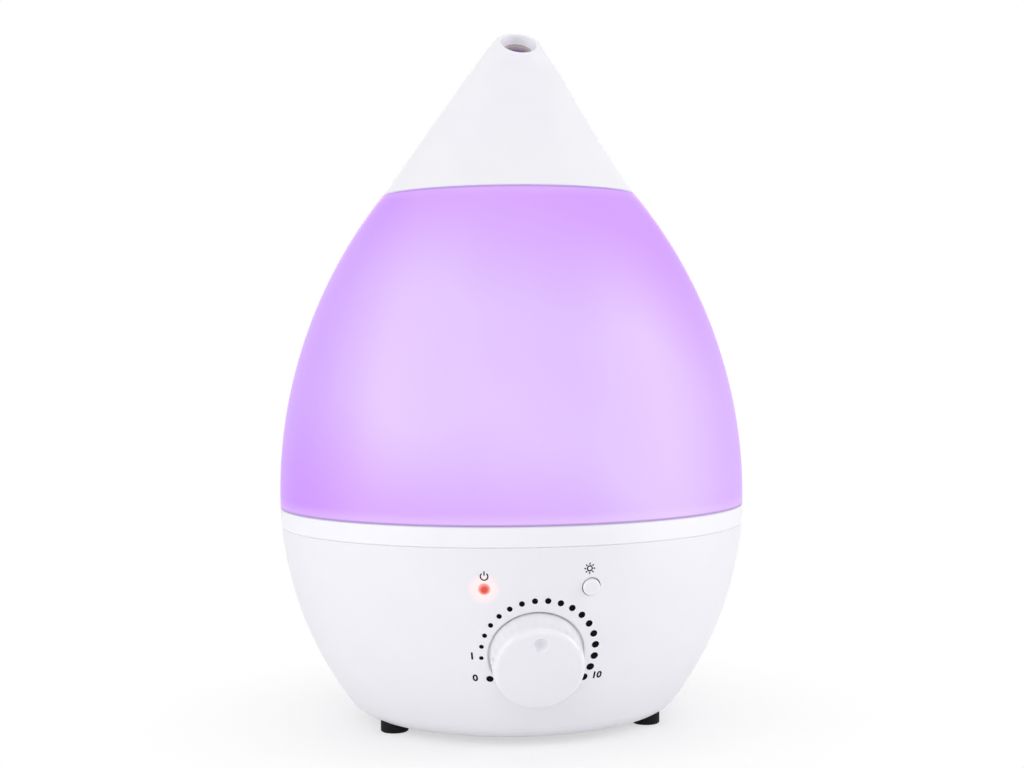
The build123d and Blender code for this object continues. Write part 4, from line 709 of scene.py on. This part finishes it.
def dot_scale_tree():
    """Geometry Nodes: discs on an arc that grow from one end to the other."""
    group = bpy.data.node_groups.new("dot_scale", "GeometryNodeTree")
    sizes = {
        "Count": ("NodeSocketInt", DOT_COUNT),
        "Circle Radius": ("NodeSocketFloat", DOT_CIRCLE_R),
        "First Turn": ("NodeSocketFloat", DOT_FIRST * DOT_STEP),
        "Step": ("NodeSocketFloat", DOT_STEP),
        "First Dot": ("NodeSocketFloat", DOT_FIRST_R),
        "Last Dot": ("NodeSocketFloat", DOT_LAST_R),
    }
    for name, (kind, value) in sizes.items():
        group.interface.new_socket(name, in_out="INPUT", socket_type=kind).default_value = value
    group.interface.new_socket("Geometry", in_out="OUTPUT", socket_type="NodeSocketGeometry")
    g = Nodes(group)
    given = g.add("NodeGroupInput", {}, {})
    count, circle, first_turn, step, small, large = (Socket(g, given.outputs[name]) for name in sizes)
    index = g.node("GeometryNodeInputIndex", {}, {})
    turn = first_turn + index * step
    x = circle * g.math("SINE", turn)
    y = circle * g.math("COSINE", turn)
    spot = g.node("ShaderNodeCombineXYZ", {}, {"X": x, "Y": y})
    points = g.node("GeometryNodePoints", {}, {"Count": count, "Position": spot})
    size = small + index / (count - 1) * (large - small)
    disc = g.node("GeometryNodeMeshCircle", {"fill_type": "NGON"}, {"Vertices": DOT_SIDES, "Radius": 1.0})
    placing = {"Points": points, "Instance": disc, "Scale": size}
    placed = g.node("GeometryNodeInstanceOnPoints", {}, placing)
    whole = g.node("GeometryNodeRealizeInstances", {}, {"Geometry": placed})
    inked = g.node("GeometryNodeSetMaterial", {}, {"Geometry": whole, "Material": INK})
    g.add("NodeGroupOutput", {}, {"Geometry": inked})
    return group


def dot_scale():
    """The scale of growing dots, flat round its origin."""
    maker = new_object("dot_scale_maker", bpy.data.meshes.new("dot_scale_maker"))
    maker.modifiers.new("dot_scale", "NODES").node_group = dot_scale_tree()
    return plain_mesh(maker)


def numeral(text):
    """A number as a flat mesh, centred on its origin."""
    curve = bpy.data.curves.new("numeral_curve", "FONT")
    curve.body = text
    curve.align_x = "CENTER"
    curve.align_y = "CENTER"
    curve.size = NUMERAL_H / NUMERAL_SHARE
    curve.offset = NUMERAL_H * NUMERAL_WEIGHT
    curve.resolution_u = 4
    return plain_mesh(new_object("numeral_maker", curve))


def flat_mesh(name, outlines):
    """Flat faces from lists of points."""
    made = bmesh.new()
    for points in outlines:
        made.faces.new([made.verts.new((x, y, 0)) for x, y in points])
    bmesh.ops.remove_doubles(made, verts=made.verts[:], dist=MERGE_NEAR)
    mesh = bpy.data.meshes.new(name)
    made.to_mesh(mesh)
    made.free()
    return mesh


def disc(radius, middle):
    """Outline of a round dot."""
    x, y = middle
    turns = [2 * pi * n / DOT_SIDES for n in range(DOT_SIDES)]
    return [(x + radius * cos(turn), y + radius * sin(turn)) for turn in turns]


def ring(radius, start, end):
    """Quads of a round stroke outside a radius, between two turns from the top."""
    outer = radius + STROKE
    quads = []
    for n in range(RING_STEPS):
        a, b = (start + (end - start) * k / RING_STEPS for k in (n, n + 1))
        corners = ((radius, a), (outer, a), (outer, b), (radius, b))
        quads.append([(r * sin(turn), r * cos(turn)) for r, turn in corners])
    return quads


def ray(turn, ends):
    """Quad of a straight stroke away from the origin, at a turn from the top."""
    along = Vector((sin(turn), cos(turn)))
    half = Vector((-along.y, along.x)) * (STROKE / 2)
    near, far = (along * end for end in ends)
    return [tuple(corner) for corner in (near - half, far - half, far + half, near + half)]


def print_front():
    """Prints the dial's scale, its numbers and the two symbols."""
    print_on_base("dial_dots", dot_scale(), DIAL_AT, DIAL_TURN)
    off = DOT_OFF * DOT_STEP
    off_dot = disc(DOT_OFF_R, (DOT_CIRCLE_R * sin(off), DOT_CIRCLE_R * cos(off)))
    print_on_base("dial_off_dot", flat_mesh("off_dot", [off_dot]), DIAL_AT, DIAL_TURN)
    for name, (text, at) in NUMERALS.items():
        print_on_base(name, numeral(text), at)
    power = ring(POWER_R, POWER_GAP, 2 * pi - POWER_GAP) + [ray(0, POWER_BAR)]
    print_on_base("power_symbol", flat_mesh("power_symbol", power), POWER_AT)
    light = ring(LIGHT_R, 0, 2 * pi)
    light += [ray(2 * pi * n / LIGHT_RAYS, LIGHT_RAY) for n in range(LIGHT_RAYS)]
    print_on_base("light_symbol", flat_mesh("light_symbol", light), LIGHT_AT)


print_front()


# Lid with its lip turned forward

SAME_POINT = 0.002 * MM
ON_LOOP = 0.001 * MM
DISH_FLOOR_NEAR = 0.2 * MM
SHARP_EDGE = radians(30)


def bent_lip(point):
    """Where a point of the CAD lid lies once the dish is deeper and the lip turned."""
    from_tip = point - LID_TIP
    along = from_tip.dot(LID_AXIS)
    if along < -LIP_BEND:
        return point
    aside = (from_tip - LID_AXIS * along).length
    if aside < DISH_FLOOR_R and abs(along + DISH_DEPTH) < DISH_FLOOR_NEAR:
        point = point - LID_AXIS * DISH_DEEPER
    share = min(1, 1 + along / LIP_BEND)
    turn = LIP_TURN * share * share * (3 - 2 * share)
    return LIP_HINGE + Matrix.Rotation(turn, 3, LID_SIDE) @ (point - LIP_HINGE)


def lid_shell():
    """A copy of the CAD lid with its lip turned forward, so that the mist outlet shows."""
    node = frame["nodes"]["mist_lid"]
    work = bmesh.new()
    work.from_mesh(node.data)
    bmesh.ops.transform(work, matrix=node.matrix_world, verts=work.verts)
    bmesh.ops.remove_doubles(work, verts=work.verts, dist=SAME_POINT)
    for loop in range(1, LIP_LOOPS):
        level = LID_TIP - LID_AXIS * (LIP_BEND * loop / LIP_LOOPS)
        parts = work.verts[:] + work.edges[:] + work.faces[:]
        bmesh.ops.bisect_plane(work, geom=parts, dist=ON_LOOP, plane_co=level, plane_no=LID_AXIS)
    for vert in work.verts:
        vert.co = bent_lip(vert.co)
    for face in work.faces:
        face.smooth = True
    for edge in work.edges:
        edge.smooth = edge.calc_face_angle(0) < SHARP_EDGE
    mesh = bpy.data.meshes.new("lid_shell")
    work.to_mesh(mesh)
    work.free()
    mesh.materials.append(WHITE_LID)
    piece = new_object("lid_shell", mesh)
    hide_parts("mist_lid")
    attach(piece, "lid")


lid_shell()


# Stage: pale floor, white surround and soft light

PURE_WHITE = (1, 1, 1, 1)
FLOOR_WHITE = (0.93, 0.93, 0.94, 1)
FLOOR_HALF = 4.0
FLOOR_PALE_FROM = 0.05
FLOOR_PALE_TO = 0.15
FLOOR_LIFT = 0.55
SKY_WHITE = (0.97, 0.97, 1.0, 1)
SKY_LIGHT = 0.52
LAMP_TARGET = Vector((0, 0, 0.12))
LAMPS = {
    "left_softbox": ((-1.05, -0.40, 0.38), (0.40, 1.0), 4.2),
    "right_softbox": ((1.05, -0.30, 0.38), (0.40, 1.0), 4.5),
    "front_fill": ((-0.15, -1.40, 0.45), (0.9, 0.7), 3.7),
    "top_softbox": ((0.0, 0.10, 1.20), (0.9, 0.9), 2.5),
    "rear_fill": ((0.15, 1.40, 0.45), (0.9, 0.7), 3.0),
}


def add_floor():
    """Floor that keeps the shadow near the object and is seen as white further out."""
    corners = ((-1, -1), (1, -1), (1, 1), (-1, 1))
    mesh = flat_mesh("floor", [[(x * FLOOR_HALF, y * FLOOR_HALF) for x, y in corners]])
    floor = new_object("floor", mesh)
    f = Finish("pale_floor", Base_Color=FLOOR_WHITE, Roughness=0.8)
    far = f.away((0, 0, 0)).ramp(FLOOR_PALE_FROM, FLOOR_PALE_TO)
    share = f.in_sight() * (FLOOR_LIFT + far * (1 - FLOOR_LIFT))
    white = f.node("ShaderNodeEmission", {}, {"Color": PURE_WHITE, "Strength": 1.0})
    mixed = f.node("ShaderNodeMixShader", {}, {0: share, 1: f.shader, 2: white})
    f.tree.links.new(mixed.output, f.out.inputs["Surface"])
    mesh.materials.append(f.material)


def add_world():
    """Surround that is seen as white, and lights the object softly."""
    world = bpy.data.worlds.new("studio")
    world.use_nodes = True
    w = Nodes(world.node_tree)
    soft = w.node("ShaderNodeBackground", {}, {"Color": SKY_WHITE, "Strength": SKY_LIGHT})
    white = w.node("ShaderNodeBackground", {}, {"Color": PURE_WHITE, "Strength": 1.0})
    mixed = w.node("ShaderNodeMixShader", {}, {0: w.in_sight(), 1: soft, 2: white})
    w.add("ShaderNodeOutputWorld", {}, {"Surface": mixed})
    scene.world = world


def add_lamp(name, place, size, power):
    """Softbox that faces the object."""
    data = bpy.data.lights.new(name, "AREA")
    data.shape = "RECTANGLE"
    data.size, data.size_y = size
    data.energy = power
    lamp = new_object(name, data)
    lamp.location = place
    lamp.rotation_euler = (LAMP_TARGET - Vector(place)).to_track_quat("-Z", "Y").to_euler()


add_floor()
add_world()
for name, (place, size, power) in LAMPS.items():
    add_lamp(name, place, size, power)
